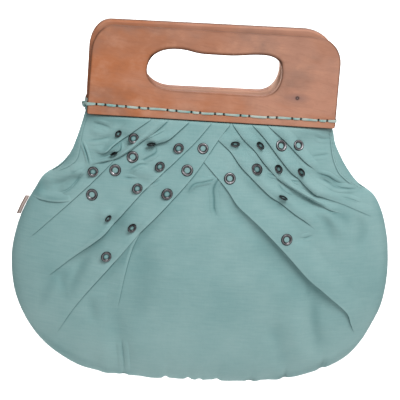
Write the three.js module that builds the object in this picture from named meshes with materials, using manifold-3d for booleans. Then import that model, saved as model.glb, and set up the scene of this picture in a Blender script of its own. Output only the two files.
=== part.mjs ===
import * as THREE from 'three';
import { mergeVertices } from 'three/addons/utils/BufferGeometryUtils.js';
import Module from 'manifold-3d';

const wasm = await Module();
wasm.setup();

// Handbag: two wooden grip boards with a gathered cloth bag laced under them.
// Millimetres. X runs along the boards, Y from front to back, Z up.
// The origin lies midway between the two grips, at their undersides.

const boardLeft = 110.5;
const boardRight = 112.5;
const footFlareLeft = 1.8;
const footFlareRight = 0.5;
const frontGripHeight = 18.5;
const backGripHeight = 21;
const slotWidth = 121;
const slotHeight = 37.6;
const woodBelowSlot = 23.9;
const boardThickness = 10;
const boardEdgeRound = 2;
const boardTopCorner = 25;
const boardFootCorner = 3.2;
const slotHump = 1.9;
const slotFlat = 20;

// The boards lean together: they almost touch at leanTop and their feet stand apart.
const topGap = 1.2;
const leanTop = 20.5;
const boardLean = THREE.MathUtils.degToRad(2.2);
const backShiftX = -3;
const backShiftZ = 2.7;
const backRoll = THREE.MathUtils.degToRad(0.8);

const laceHeight = -54.5;
const lacePairs = [-100, -81.5, -61.5, -36, -14.5, 7, 30, 55, 77, 101];
const lacePairHalf = 4;
const laceHoleRadius = 1.6;
const ribbonWidth = 3;
const ribbonThickness = 0.6;
const rungSize = 1.3;
const knotSize = [2.6, 3.4, 2.8];

const gap = 0.3;
const clothThickness = 1.4;
const seamHalfGap = 0.2;
const hemTop = -49.5;
const hemFoot = -59.5;
const neckTop = -64.5;
const widestHeight = -205;
const bagBottom = -322.5;
const slitFoot = -125;

const eyeletHole = 2.3;
const eyeletBarrel = 2.9;
const eyeletRise = 1.1;
const eyeletSides = 8;
const eyeletRadius = { small: 4.3, usual: 5, large: 5.4 };

// Sections of the bag, top to bottom: where the outline and the free slit edges run.
const sections = [
  { z: -49.5, left: -106, right: 106, lip: 3.0 },
  { z: -59.5, left: -113.5, right: 110.5, lip: 3.3 },
  { z: -66, left: -115.5, right: 113, lip: 5.0 },
  { z: -76, left: -118, right: 115.5, lip: 7.5 },
  { z: -90, left: -122, right: 123, lip: 9.0 },
  { z: -104, left: -127.5, right: 132.5, lip: 8.0 },
  { z: -115, left: -137, right: 142.5, lip: 5.0 },
  { z: -125, left: -151.5, right: 156.5, lip: 0.2 },
  { z: -136, left: -159, right: 165, lip: 0.2 },
  { z: -154, left: -168, right: 172, lip: 0.2 },
  { z: -176, left: -174.5, right: 177, lip: 0.2 },
  { z: -205, left: -178, right: 179.5, lip: 0.2 },
  { z: -234, left: -175.5, right: 177, lip: 0.2 },
  { z: -256, left: -168.5, right: 169.5, lip: 0.2 },
  { z: -276, left: -157.5, right: 160, lip: 0.2 },
  { z: -292, left: -144, right: 147, lip: 0.2 },
  { z: -304, left: -128.5, right: 128, lip: 0.2 },
  { z: -314, left: -110, right: 103, lip: 0.2 },
  { z: -320, left: -87, right: 74, lip: 0.2 },
  { z: -322.5, left: -62, right: 48, lip: 0.2 },
];

// How far the middle of each panel stands out from the seam plane.
const bellies = [
  { z: -64.5, front: 4.4, back: 4.4 },
  { z: -72, front: 10, back: 8 },
  { z: -80, front: 14, back: 11 },
  { z: -92, front: 18.5, back: 14.5 },
  { z: -108, front: 23, back: 18 },
  { z: -130, front: 28, back: 22 },
  { z: -160, front: 33, back: 26 },
  { z: -205, front: 37, back: 29 },
];

// Folds of the front panel: the cloth on the upper side of each line laps over the cloth below it.
// side -1 runs down to the left, side 1 down to the right; roll is how far the lap stays raised.
const folds = [
  { side: -1, height: 3.4, roll: 16, line: [[-54, -62], [-77, -81], [-93, -93], [-104, -97]] },
  { side: -1, height: 5.2, roll: 17, line: [[-39, -62], [-60, -82], [-84, -99], [-106, -109]] },
  { side: -1, height: 3.0, roll: 20, line: [[-88, -104], [-108, -127], [-158, -181], [-170, -194]] },
  { side: -1, height: 3.2, roll: 15, line: [[-20, -62], [-32, -73], [-42, -80], [-57, -85]] },
  { side: -1, height: 4.2, roll: 24, line: [[0, -62], [-20, -87], [-65, -134], [-100, -176], [-149, -223]] },
  { side: -1, height: 4.6, roll: 26, line: [[17, -62], [-5, -98], [-57, -161], [-109, -236], [-136, -286]] },
  { side: -1, height: 1.6, roll: 22, line: [[-57, -163], [-68, -197], [-76, -242], [-68, -300]] },
  { side: 1, height: 6.0, roll: 30, line: [[-5, -98], [31, -138], [78, -178], [141, -237], [157, -270]] },
  { side: 1, height: 3.8, roll: 19, line: [[5, -75], [23, -89], [44, -114], [74, -133], [103, -156]] },
  { side: 1, height: 4.0, roll: 17, line: [[20, -62], [37, -81], [64, -110], [105, -131], [122, -138]] },
  { side: 1, height: 4.2, roll: 18, line: [[38, -62], [63, -90], [86, -113], [132, -133], [169, -150]] },
  { side: 1, height: 3.4, roll: 17, line: [[51, -62], [80, -86], [117, -113], [145, -120]] },
];
const foldSoftness = 3.5;

// Gathers of the back panel: even ridges under the hem that die out downwards.
const backGathers = { count: 9, spacing: 22, height: 2.2, foot: -165 };

const eyelets = [
  { x: -83, z: -78, size: 'small' },
  { x: -69, z: -81, size: 'usual' },
  { x: -53, z: -85, size: 'usual' },
  { x: -28, z: -87, size: 'usual' },
  { x: -6, z: -86, size: 'usual' },
  { x: -69, z: -98, size: 'large' },
  { x: -84, z: -111, size: 'large' },
  { x: -104, z: -114, size: 'usual' },
  { x: -44, z: -104, size: 'usual' },
  { x: -19, z: -106, size: 'large' },
  { x: -104, z: -135, size: 'large' },
  { x: -63, z: -125, size: 'usual' },
  { x: -36, z: -128, size: 'large' },
  { x: -88, z: -154, size: 'small' },
  { x: -66, z: -161, size: 'usual' },
  { x: -88, z: -190, size: 'usual' },
  { x: -86, z: -95, size: 'small' },
  { x: 23, z: -80, size: 'usual' },
  { x: 46, z: -80, size: 'usual' },
  { x: 65, z: -80, size: 'large' },
  { x: 81, z: -79, size: 'usual' },
  { x: 44, z: -101, size: 'large' },
  { x: 64, z: -100, size: 'usual' },
  { x: 85, z: -102, size: 'usual' },
  { x: 20, z: -111, size: 'large' },
  { x: 70, z: -125, size: 'usual' },
  { x: 76, z: -164, size: 'large' },
];

const tabLength = 17;
const tabWidth = 3.8;
const tabThickness = 1.6;
const tabMiddle = -154.5;

const boardFoot = -slotHeight - woodBelowSlot;

// Shape helpers

function smooth(from, to, value) {
  const t = THREE.MathUtils.clamp((value - from) / (to - from), 0, 1);
  return t * t * (3 - 2 * t);
}

// Smooth reading of one column of a table whose rows run downwards in z.
function column(table, name, z) {
  const last = table.length - 1;
  if (z >= table[0].z) return table[0][name];
  if (z <= table[last].z) return table[last][name];
  let i = 0;
  while (table[i + 1].z > z) i += 1;
  const slope = (a, b) => (table[b][name] - table[a][name]) / (table[b].z - table[a].z);
  const middle = slope(i, i + 1);
  const limit = (s) => (s * middle <= 0 ? 0 : Math.sign(middle) * Math.min(Math.abs(s), 3 * Math.abs(middle)));
  const start = limit(i > 0 ? slope(i - 1, i + 1) : middle);
  const end = limit(i + 2 <= last ? slope(i, i + 2) : middle);
  const run = table[i + 1].z - table[i].z;
  const t = (z - table[i].z) / run;
  const a = table[i][name];
  const b = table[i + 1][name];
  const cubic = a * (1 + 2 * t) * (1 - t) ** 2 + b * t * t * (3 - 2 * t);
  return cubic + run * (start * t * (1 - t) ** 2 - end * t * t * (1 - t));
}

// A place on a board: along it, up it, and outwards from its inner face.
function onBoard(side, x, z, out) {
  const down = leanTop - z;
  const y = side * (topGap / 2 + down * Math.sin(boardLean) + out * Math.cos(boardLean));
  const up = leanTop - down * Math.cos(boardLean) + out * Math.sin(boardLean);
  if (side < 0) return new THREE.Vector3(x, y, up);
  const turnedX = x * Math.cos(backRoll) - up * Math.sin(backRoll) + backShiftX;
  const turnedZ = x * Math.sin(backRoll) + up * Math.cos(backRoll) + backShiftZ;
  return new THREE.Vector3(turnedX, y, turnedZ);
}

// Height of the front folds above the plain belly.
function foldHeight(x, z) {
  let total = 0;
  for (const fold of folds) {
    let nearest = Infinity;
    let signed = 0;
    let along = 0;
    let length = 0;
    for (let i = 0; i + 1 < fold.line.length; i += 1) {
      const [ax, az] = fold.line[i];
      const [bx, bz] = fold.line[i + 1];
      const run = Math.hypot(bx - ax, bz - az);
      const t = ((x - ax) * (bx - ax) + (z - az) * (bz - az)) / (run * run);
      const held = THREE.MathUtils.clamp(t, 0, 1);
      const dx = x - ax - held * (bx - ax);
      const dz = z - az - held * (bz - az);
      const distance = Math.hypot(dx, dz);
      if (distance < nearest) {
        nearest = distance;
        signed = fold.side * Math.sign((bx - ax) * dz - (bz - az) * dx) * distance;
        along = length + held * run;
      }
      length += run;
    }
    const step = smooth(-foldSoftness, foldSoftness, signed);
    const lap = 1 - smooth(foldSoftness, fold.roll, signed);
    const ends = smooth(0, 12, along) * smooth(0, 30, length - along);
    total += fold.height * step * lap * ends;
  }
  return total * smooth(neckTop, neckTop - 9, z);
}

function gatherHeight(x, z) {
  const { count, spacing, height, foot } = backGathers;
  const reach = (count * spacing) / 2;
  const spread = THREE.MathUtils.mapLinear(z, neckTop, foot, 1, 1.35);
  const wave = 0.5 + 0.5 * Math.cos((2 * Math.PI * x) / (spacing * spread));
  const inside = 1 - smooth(0.8, 1.05, Math.abs(x) / (reach * spread));
  return height * wave * inside * smooth(neckTop, neckTop - 10, z) * (1 - smooth(neckTop - 15, foot, z));
}

// Heights of the grid rows: two for the hem, then the neck, then the round bottom by angle.
function rowHeights(neckRows, bottomRows) {
  const rows = [hemTop, hemFoot];
  for (let k = 0; k <= neckRows; k += 1) {
    rows.push(neckTop + (widestHeight - neckTop) * (k / neckRows) ** 1.15);
  }
  for (let k = 1; k <= bottomRows; k += 1) {
    rows.push(widestHeight + (bagBottom - widestHeight) * Math.sin((k / bottomRows) * Math.PI * 0.5));
  }
  return rows;
}

// A place on a cloth panel: across from -1 to 1, at row height z, inset into the cloth by depth.
function onCloth(side, across, z, inset) {
  const left = column(sections, 'left', z) + inset;
  const right = column(sections, 'right', z) - inset;
  const middle = (left + right) / 2;
  const half = (right - left) / 2;
  if (z >= hemFoot) return onBoard(side, middle + half * across, z, -gap - inset);
  const bend = THREE.MathUtils.lerp(0.9, Math.PI / 2, smooth(neckTop, slitFoot, z));
  const angle = across * bend;
  const x = middle + (half * Math.sin(angle)) / Math.sin(bend);
  const name = side < 0 ? 'front' : 'back';
  const round = (widestHeight - z) / (widestHeight - bagBottom);
  const closing = z < widestHeight ? Math.sqrt(Math.max(0, 1 - round ** 2.4)) : 1;
  const belly = column(bellies, name, z) * closing - inset;
  const lip = Math.max(column(sections, 'lip', z) - inset * smooth(slitFoot, -104, z), seamHalfGap);
  const bow = (Math.cos(angle) - Math.cos(bend)) / (1 - Math.cos(bend));
  const fullness = Math.max(belly - lip, 0) * Math.max(bow, 0) ** 1.1;
  const extra = side < 0 ? foldHeight(x, z) : gatherHeight(x, z);
  const y = side * (lip + fullness + extra * smooth(0, 0.35, bow) * smooth(0, 12, belly));
  const lift = inset * smooth(-290, bagBottom, z);
  return new THREE.Vector3(x, y, z + lift);
}

// Mesh helpers

function tidy(geometry) {
  const bare = new THREE.BufferGeometry();
  bare.setAttribute('position', geometry.getAttribute('position').clone());
  if (geometry.index) bare.setIndex(geometry.index.clone());
  const merged = mergeVertices(bare, 1e-4);
  const index = merged.index.array;
  const kept = [];
  for (let i = 0; i < index.length; i += 3) {
    const [a, b, c] = [index[i], index[i + 1], index[i + 2]];
    if (a !== b && b !== c && c !== a) kept.push(a, b, c);
  }
  merged.setIndex(kept);
  return merged;
}

// Moves every point of a geometry by a rule, turning the faces over where the rule mirrors.
function reshape(geometry, rule, mirrored) {
  const plain = tidy(geometry);
  const place = plain.getAttribute('position');
  for (let i = 0; i < place.count; i += 1) {
    const p = rule(place.getX(i), place.getY(i), place.getZ(i));
    place.setXYZ(i, p.x, p.y, p.z);
  }
  const index = plain.index.array;
  if (mirrored) {
    for (let i = 0; i < index.length; i += 3) {
      const first = index[i];
      index[i] = index[i + 1];
      index[i + 1] = first;
    }
  }
  return plain;
}

function solid(geometry) {
  const plain = tidy(geometry);
  const mesh = new wasm.Mesh({
    numProp: 3,
    vertProperties: new Float32Array(plain.getAttribute('position').array),
    triVerts: new Uint32Array(plain.index.array),
  });
  return new wasm.Manifold(mesh);
}

function geometryOf(body) {
  const mesh = body.getMesh();
  const geometry = new THREE.BufferGeometry();
  geometry.setAttribute('position', new THREE.BufferAttribute(new Float32Array(mesh.vertProperties), 3));
  geometry.setIndex(new THREE.BufferAttribute(new Uint32Array(mesh.triVerts), 1));
  return geometry;
}

function box(x0, x1, y0, y1, z0, z1) {
  const geometry = new THREE.BoxGeometry(x1 - x0, y1 - y0, z1 - z0);
  geometry.translate((x0 + x1) / 2, (y0 + y1) / 2, (z0 + z1) / 2);
  return geometry;
}

const group = new THREE.Group();

function addPiece(name, geometry, colour, roughness, metalness) {
  geometry.computeVertexNormals();
  const material = new THREE.MeshStandardMaterial({ color: colour, roughness, metalness });
  const mesh = new THREE.Mesh(geometry, material);
  mesh.name = name;
  group.add(mesh);
}

const laceHoles = lacePairs.flatMap((x) => [x - lacePairHalf, x + lacePairHalf]);

// Boards

function boardShape(gripHeight) {
  const footLeft = -boardLeft - footFlareLeft;
  const footRight = boardRight + footFlareRight;
  const cornerHeight = gripHeight - boardTopCorner;
  const shape = new THREE.Shape();
  shape.moveTo(footLeft + boardFootCorner, boardFoot);
  shape.lineTo(footRight - boardFootCorner, boardFoot);
  shape.quadraticCurveTo(footRight, boardFoot, footRight, boardFoot + boardFootCorner);
  shape.lineTo(boardRight, cornerHeight);
  shape.absarc(boardRight - boardTopCorner, cornerHeight, boardTopCorner, 0, Math.PI / 2);
  shape.lineTo(-boardLeft + boardTopCorner, gripHeight);
  shape.absarc(-boardLeft + boardTopCorner, cornerHeight, boardTopCorner, Math.PI / 2, Math.PI);
  shape.lineTo(footLeft, boardFoot + boardFootCorner);
  shape.quadraticCurveTo(footLeft, boardFoot, footLeft + boardFootCorner, boardFoot);

  const end = slotWidth / 2;
  const slot = new THREE.Path();
  slot.moveTo(-slotFlat, 0);
  slot.lineTo(slotFlat, 0);
  slot.bezierCurveTo(slotFlat + 12, 0, end - 28, slotHump, end - 17, slotHump);
  slot.bezierCurveTo(end - 6, slotHump, end, -6, end, -15);
  slot.bezierCurveTo(end, -28, end - 7, -slotHeight, end - 19, -slotHeight);
  slot.lineTo(-end + 20, -slotHeight);
  slot.bezierCurveTo(-end + 7, -slotHeight, -end, -28, -end, -17);
  slot.bezierCurveTo(-end, -6, -end + 7, slotHump, -end + 17, slotHump);
  slot.bezierCurveTo(-end + 28, slotHump, -slotFlat - 12, 0, -slotFlat, 0);
  shape.holes.push(slot);
  return shape;
}

function makeBoard(side) {
  const blank = new THREE.ExtrudeGeometry(boardShape(side < 0 ? frontGripHeight : backGripHeight), {
    depth: boardThickness - 2 * boardEdgeRound,
    curveSegments: 5,
    bevelEnabled: true,
    bevelThickness: boardEdgeRound,
    bevelSize: boardEdgeRound,
    bevelOffset: -boardEdgeRound,
    bevelSegments: 1,
  });
  blank.translate(0, 0, boardEdgeRound);
  let body = solid(blank);
  for (const x of laceHoles) {
    const drill = new THREE.CylinderGeometry(laceHoleRadius, laceHoleRadius, boardThickness + 4, 6);
    drill.rotateX(Math.PI / 2);
    drill.translate(x, laceHeight, boardThickness / 2);
    body = body.subtract(solid(drill));
  }
  return reshape(geometryOf(body), (x, z, out) => onBoard(side, x, z, out), side > 0);
}

// Ribbons: a flat band right round the board and the hem, with a rung through every hole.

function ringPath(path, left, right, inner, outer) {
  path.moveTo(left, inner);
  path.lineTo(right, inner);
  path.lineTo(right, outer);
  path.lineTo(left, outer);
  path.lineTo(left, inner);
  return path;
}

function makeRibbon(side) {
  const insideFace = -gap - clothThickness - gap;
  const outsideFace = boardThickness + gap;
  const left = -boardLeft - footFlareLeft - gap;
  const right = boardRight + footFlareRight + gap;
  const band = ringPath(
    new THREE.Shape(), left - ribbonThickness, right + ribbonThickness,
    insideFace - ribbonThickness, outsideFace + ribbonThickness);
  band.holes.push(ringPath(new THREE.Path(), left, right, insideFace, outsideFace));
  const ring = new THREE.ExtrudeGeometry(band, { depth: ribbonWidth, bevelEnabled: false });
  ring.translate(0, 0, -ribbonWidth / 2);
  let body = solid(ring);
  const half = rungSize / 2;
  for (const x of laceHoles) {
    const rung = box(x - half, x + half, insideFace - 0.3, outsideFace + 0.3, -half, half);
    body = body.add(solid(rung));
  }
  if (side < 0) {
    const knot = new THREE.SphereGeometry(1, 8, 6);
    knot.scale(knotSize[0], knotSize[2], knotSize[1]);
    knot.translate(left - 3, boardThickness * 0.75, -1.2);
    body = body.add(solid(knot));
  }
  return reshape(geometryOf(body), (x, out, up) => onBoard(side, x, laceHeight - up, out), side > 0);
}

// Cloth panels

function clothShell(side, rows, columns) {
  const points = [];
  const wide = columns + 1;
  for (const inset of [0, clothThickness]) {
    for (const z of rows) {
      for (let j = 0; j <= columns; j += 1) {
        const p = onCloth(side, (2 * j) / columns - 1, z, inset);
        points.push(p.x, p.y, p.z);
      }
    }
  }
  const layer = rows.length * wide;
  const index = [];
  const quad = (a, b, c, d) => {
    if (side < 0) index.push(a, b, c, a, c, d);
    else index.push(a, c, b, a, d, c);
  };
  for (let i = 0; i + 1 < rows.length; i += 1) {
    for (let j = 0; j < columns; j += 1) {
      const a = i * wide + j;
      quad(a, a + wide, a + wide + 1, a + 1);
      quad(layer + a, layer + a + 1, layer + a + wide + 1, layer + a + wide);
    }
    const leftEdge = i * wide;
    const rightEdge = leftEdge + columns;
    quad(leftEdge, layer + leftEdge, layer + leftEdge + wide, leftEdge + wide);
    quad(rightEdge, rightEdge + wide, layer + rightEdge + wide, layer + rightEdge);
  }
  const foot = (rows.length - 1) * wide;
  for (let j = 0; j < columns; j += 1) {
    quad(j, j + 1, layer + j + 1, layer + j);
    quad(foot + j, layer + foot + j, layer + foot + j + 1, foot + j + 1);
  }
  const geometry = new THREE.BufferGeometry();
  geometry.setAttribute('position', new THREE.BufferAttribute(new Float32Array(points), 3));
  geometry.setIndex(index);
  return geometry;
}

function cutHem(body, side) {
  const half = rungSize / 2 + gap;
  let cut = body;
  for (const x of laceHoles) {
    const pin = box(x - half, x + half, laceHeight - half, laceHeight + half, -gap - clothThickness - 1, 1);
    cut = cut.subtract(solid(reshape(pin, (px, z, out) => onBoard(side, px, z, out), side > 0)));
  }
  return cut;
}

// Where an eyelet lies: on the mean plane of the cloth under its rim, lifted clear of the cloth.
function eyeletPlace(cloth, row, radius) {
  const caster = new THREE.Raycaster();
  const hit = (dx, dz) => {
    caster.set(new THREE.Vector3(row.x + dx, -150, row.z + dz), new THREE.Vector3(0, 1, 0));
    return caster.intersectObject(cloth)[0].point;
  };
  const rim = [];
  for (let k = 0; k < 16; k += 1) {
    const angle = (k / 16) * Math.PI * 2;
    rim.push(hit(radius * Math.cos(angle), radius * Math.sin(angle)));
    rim.push(hit(eyeletBarrel * Math.cos(angle), eyeletBarrel * Math.sin(angle)));
  }
  const acrossX = new THREE.Vector3();
  const upZ = new THREE.Vector3();
  const middle = new THREE.Vector3();
  for (const p of rim) {
    acrossX.addScaledVector(p, p.x - row.x);
    upZ.addScaledVector(p, p.z - row.z);
    middle.addScaledVector(p, 1 / rim.length);
  }
  const normal = acrossX.cross(upZ).normalize();
  const lift = Math.max(...rim.map((p) => p.clone().sub(middle).dot(normal)));
  middle.addScaledVector(normal, lift);
  const turn = new THREE.Quaternion().setFromUnitVectors(new THREE.Vector3(0, 1, 0), normal);
  return { lift, matrix: new THREE.Matrix4().compose(middle, turn, new THREE.Vector3(1, 1, 1)) };
}

function turned(profile, sides) {
  return new THREE.LatheGeometry(profile.map(([r, y]) => new THREE.Vector2(r, y)), sides);
}

function eyeletRing(radius, lift) {
  const foot = -clothThickness - 0.4 - lift;
  const profile = [
    [eyeletHole, foot],
    [eyeletBarrel, foot],
    [eyeletBarrel, gap],
    [radius, gap],
    [eyeletHole + 0.2, eyeletRise],
    [eyeletHole, foot],
  ];
  return turned(profile, eyeletSides);
}

function eyeletCut() {
  const barrel = eyeletBarrel + gap;
  return turned([[0, -9], [barrel, -9], [barrel, 7], [0, 7]], eyeletSides);
}

const clothColour = 0x8ab0ad;
const woodColour = 0xb47a5c;
const ribbonColour = 0x6fb3b8;
const metalColour = 0x5d5b58;

addPiece('handle_front', makeBoard(-1), woodColour, 0.5, 0);
addPiece('handle_back', makeBoard(1), woodColour, 0.5, 0);

const frontShell = clothShell(-1, rowHeights(13, 10), 25);
const backShell = clothShell(1, rowHeights(10, 8), 16);
const rayTarget = new THREE.Mesh(frontShell, new THREE.MeshBasicMaterial({ side: THREE.DoubleSide }));

let frontBody = cutHem(solid(frontShell), -1);
eyelets.forEach((row, i) => {
  const radius = eyeletRadius[row.size];
  const place = eyeletPlace(rayTarget, row, radius);
  frontBody = frontBody.subtract(solid(eyeletCut().applyMatrix4(place.matrix)));
  const ring = tidy(eyeletRing(radius, place.lift)).applyMatrix4(place.matrix);
  addPiece(`eyelet_${String(i + 1).padStart(2, '0')}`, ring, metalColour, 0.35, 0.9);
});
addPiece('panel_front', geometryOf(frontBody), clothColour, 0.9, 0);
addPiece('panel_back', geometryOf(cutHem(solid(backShell), 1)), clothColour, 0.9, 0);

addPiece('ribbon_front', makeRibbon(-1), ribbonColour, 0.6, 0);
addPiece('ribbon_back', makeRibbon(1), ribbonColour, 0.6, 0);

// Seam tab: a short piece of folded tape standing out of the left side seam.
const seamX = column(sections, 'left', tabMiddle);
const seamRise = column(sections, 'left', tabMiddle + 8) - column(sections, 'left', tabMiddle - 8);
const tab = new THREE.Shape();
tab.moveTo(0, -tabThickness / 2);
tab.lineTo(tabWidth - 0.6, -tabThickness / 2);
tab.lineTo(tabWidth, 0);
tab.lineTo(tabWidth - 0.6, tabThickness / 2);
tab.lineTo(0, tabThickness / 2);
const tabBody = new THREE.ExtrudeGeometry(tab, { depth: tabLength, bevelEnabled: false });
tabBody.translate(0, 0, -tabLength / 2);
tabBody.rotateZ(Math.PI);
tabBody.rotateY(Math.atan2(seamRise, 16));
tabBody.translate(seamX - 0.6, 0, tabMiddle);
addPiece('seam_tab', tidy(tabBody), 0xe6d6c4, 0.8, 0);

export default group;
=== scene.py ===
# %% [markdown]
# # A handbag under two wooden grip boards
#
# The bag is one soft shell of sea-green cotton. Its front is laid in long folds that fan out to both
# sides, metal eyelets are pressed through the folds, and a ribbon laces the hem to a pair of boards.
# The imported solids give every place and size. This lesson dresses them: each piece is a surface
# worked out with numpy, and each finish is a small node graph.

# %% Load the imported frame
import math

import bpy
import numpy as np
from mathutils import Matrix, Vector
from mathutils.bvhtree import BVHTree


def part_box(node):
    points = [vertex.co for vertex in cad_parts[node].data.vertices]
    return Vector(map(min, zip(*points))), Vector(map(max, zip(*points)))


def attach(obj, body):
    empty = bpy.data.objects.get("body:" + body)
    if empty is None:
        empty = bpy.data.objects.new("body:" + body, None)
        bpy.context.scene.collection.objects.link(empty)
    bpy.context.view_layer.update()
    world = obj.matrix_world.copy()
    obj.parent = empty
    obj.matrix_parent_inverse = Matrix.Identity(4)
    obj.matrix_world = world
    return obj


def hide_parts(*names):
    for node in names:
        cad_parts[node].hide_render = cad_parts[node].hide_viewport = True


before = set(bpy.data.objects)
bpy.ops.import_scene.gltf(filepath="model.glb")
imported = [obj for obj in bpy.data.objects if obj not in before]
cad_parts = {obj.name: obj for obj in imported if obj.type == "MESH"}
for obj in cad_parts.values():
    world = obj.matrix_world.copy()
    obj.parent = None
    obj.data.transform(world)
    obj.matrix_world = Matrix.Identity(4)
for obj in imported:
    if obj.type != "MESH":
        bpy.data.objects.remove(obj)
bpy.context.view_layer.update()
MM = 0.001

# %% [markdown]
# ## Camera
#
# The view stands a little left of the bag and looks down at it, from a bit over a metre away with a
# long lens, so the boards keep their shape. The bag hangs slightly askew in the picture, which is a
# roll of the camera and not a turn of the bag. The camera's three axes are written straight into its
# matrix, because that states the roll without any chain of rotations.

# %% Camera
VIEW = {"azimuth": -2.8, "elevation": 17.0, "roll": 4.1, "distance": 1.1}
VIEW_TARGET = Vector((-0.0043, 0.0, -0.140))
LENS_MM = 106.0


def camera_matrix(azimuth, elevation, roll, distance, target):
    """Right, up and back axes of a camera that looks at target; roll turns the picture clockwise."""
    a, e, r = (math.radians(v) for v in (azimuth, elevation, roll))
    back = Vector((math.sin(a) * math.cos(e), -math.cos(a) * math.cos(e), math.sin(e)))
    level = Vector((0, 0, 1)).cross(back).normalized()
    upright = back.cross(level)
    right = math.cos(r) * level + math.sin(r) * upright
    up = -math.sin(r) * level + math.cos(r) * upright
    matrix = Matrix((right, up, back)).transposed().to_4x4()
    matrix.translation = target + back * distance
    return matrix


camera_data = bpy.data.cameras.new("photo_camera")
camera_data.sensor_width = 36.0
camera_data.lens = LENS_MM
camera = bpy.data.objects.new("photo_camera", camera_data)
bpy.context.scene.collection.objects.link(camera)
camera.matrix_world = camera_matrix(*VIEW.values(), VIEW_TARGET)
bpy.context.scene.camera = camera
print("camera at", tuple(round(v, 3) for v in camera.location))

# %% [markdown]
# ## Surfaces from arrays
#
# Every piece below is a grid of points or a profile carried along a path. These helpers turn such
# arrays into one mesh: the points are written in one call with foreach_set, and the cloth's flat
# coordinates go into a UV map, so a weave can follow the cloth instead of the room.

# %% Grid helpers


def grid_quads(rows, columns, wrap_rows=False, wrap_columns=False, flip=False):
    """Corner numbers of the quads between neighbouring rows and columns of a grid."""
    r = np.arange(rows if wrap_rows else rows - 1)[:, None]
    c = np.arange(columns if wrap_columns else columns - 1)[None, :]
    below, beside = (r + 1) % rows, (c + 1) % columns
    corners = [r * columns + c, r * columns + beside, below * columns + beside, below * columns + c]
    quads = np.stack([np.broadcast_to(k, (r.size, c.size)) for k in corners], axis=-1).reshape(-1, 4)
    return quads[:, ::-1] if flip else quads


def surface(points, flat=None, shade=None, **wrap):
    """A grid of points in millimetres, with its flat cloth coordinates and a shade value per point."""
    rows, columns = points.shape[:2]
    count = rows * columns
    flat = np.zeros((count, 2)) if flat is None else np.asarray(flat, float).reshape(count, 2)
    shade = np.zeros(count) if shade is None else np.asarray(shade, float).reshape(count)
    return points.reshape(count, 3), grid_quads(rows, columns, **wrap), flat, shade


def add_piece(name, surfaces, material):
    """One object from several surfaces, with its finish, riding on the only body of the bag."""
    starts = np.cumsum([0] + [len(s[0]) for s in surfaces[:-1]])
    points = np.concatenate([s[0] for s in surfaces]) * MM
    quads = np.concatenate([s[1] + start for s, start in zip(surfaces, starts)]).astype(np.int32)
    flat = np.concatenate([s[2] for s in surfaces]) * MM
    shade = np.concatenate([s[3] for s in surfaces])
    mesh = bpy.data.meshes.new(name)
    mesh.vertices.add(len(points))
    mesh.vertices.foreach_set("co", points.astype(np.float32).ravel())
    mesh.loops.add(quads.size)
    mesh.loops.foreach_set("vertex_index", quads.ravel())
    mesh.polygons.add(len(quads))
    mesh.polygons.foreach_set("loop_start", np.arange(0, quads.size, 4, dtype=np.int32))
    mesh.polygons.foreach_set("use_smooth", np.ones(len(quads), bool))
    layer = mesh.uv_layers.new(name="flat_cloth")
    layer.data.foreach_set("uv", flat[quads.ravel()].astype(np.float32).ravel())
    attribute = mesh.attributes.new("shade", "FLOAT", "POINT")
    attribute.data.foreach_set("value", shade.astype(np.float32))
    mesh.update(calc_edges=True)
    mesh.validate()
    piece = bpy.data.objects.new(name, mesh)
    bpy.context.scene.collection.objects.link(piece)
    mesh.materials.append(material)
    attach(piece, "root")
    print(f"{name}: {len(points)} points, {len(quads)} quads")
    return piece


def ease(start, end, value):
    """Smooth step from 0 at start to 1 at end."""
    t = np.clip((np.asarray(value, float) - start) / (end - start), 0, 1)
    return t * t * (3 - 2 * t)


def unit(vectors):
    """Vectors of length one, along the last axis."""
    return vectors / np.linalg.norm(vectors, axis=-1, keepdims=True)


def full_turn(count):
    """Even angles of one whole turn."""
    return np.linspace(0, 2 * math.pi, count, endpoint=False)


print("a grid of 3 by 4 points has", len(grid_quads(3, 4)), "quads")

# %% [markdown]
# ## Cloth finish
#
# The cotton is a plain weave with faint thicker threads that run across the bag. A picture of cloth
# would repeat and blur, so the finish is built from waves and stretched noise on the flat cloth
# coordinates. A shade value stored on the points paints shade into the creases, where the real cloth
# holds its own shadow; below zero it paints light instead, and on the stitches it gives the paler thread.

# %% Node helpers


def new_finish(name):
    """A material with its node tree and its principled shader."""
    material = bpy.data.materials.new(name)
    material.use_nodes = True
    return material, material.node_tree, material.node_tree.nodes["Principled BSDF"]


def fill(tree, made, inputs):
    """Links or sets the inputs of a node by name or number."""
    for key, value in inputs.items():
        if isinstance(value, bpy.types.NodeSocket):
            tree.links.new(value, made.inputs[key])
        else:
            made.inputs[key].default_value = value


def node(tree, kind, inputs=None, **settings):
    """Adds a node, sets its settings and fills its inputs."""
    made = tree.nodes.new(kind)
    for key, value in settings.items():
        setattr(made, key, value)
    fill(tree, made, inputs or {})
    return made


def maths(tree, operation, first, second=0.0):
    """The result of one sum on two sockets or numbers."""
    return node(tree, "ShaderNodeMath", {0: first, 1: second}, operation=operation).outputs[0]


def weighted(tree, first, first_weight, second, second_weight):
    """Two values, each times its weight, added up."""
    first_part = maths(tree, "MULTIPLY", first, first_weight)
    return maths(tree, "ADD", first_part, maths(tree, "MULTIPLY", second, second_weight))


def ramp(tree, value, start, end, low=0.0, high=1.0):
    """A straight slope from low at start to high at end, level beyond both."""
    return node(tree, "ShaderNodeMapRange", {0: value, 1: start, 2: end, 3: low, 4: high}).outputs[0]


def noise(tree, place, stretch, detail=3.0, roughness=0.55):
    """Noise value on a place that is stretched along each axis, in features per metre."""
    scaled = node(tree, "ShaderNodeMapping", {"Vector": place, "Scale": stretch}).outputs[0]
    settings = {"Vector": scaled, "Scale": 1.0, "Detail": detail, "Roughness": roughness}
    return node(tree, "ShaderNodeTexNoise", settings).outputs["Fac"]


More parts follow.
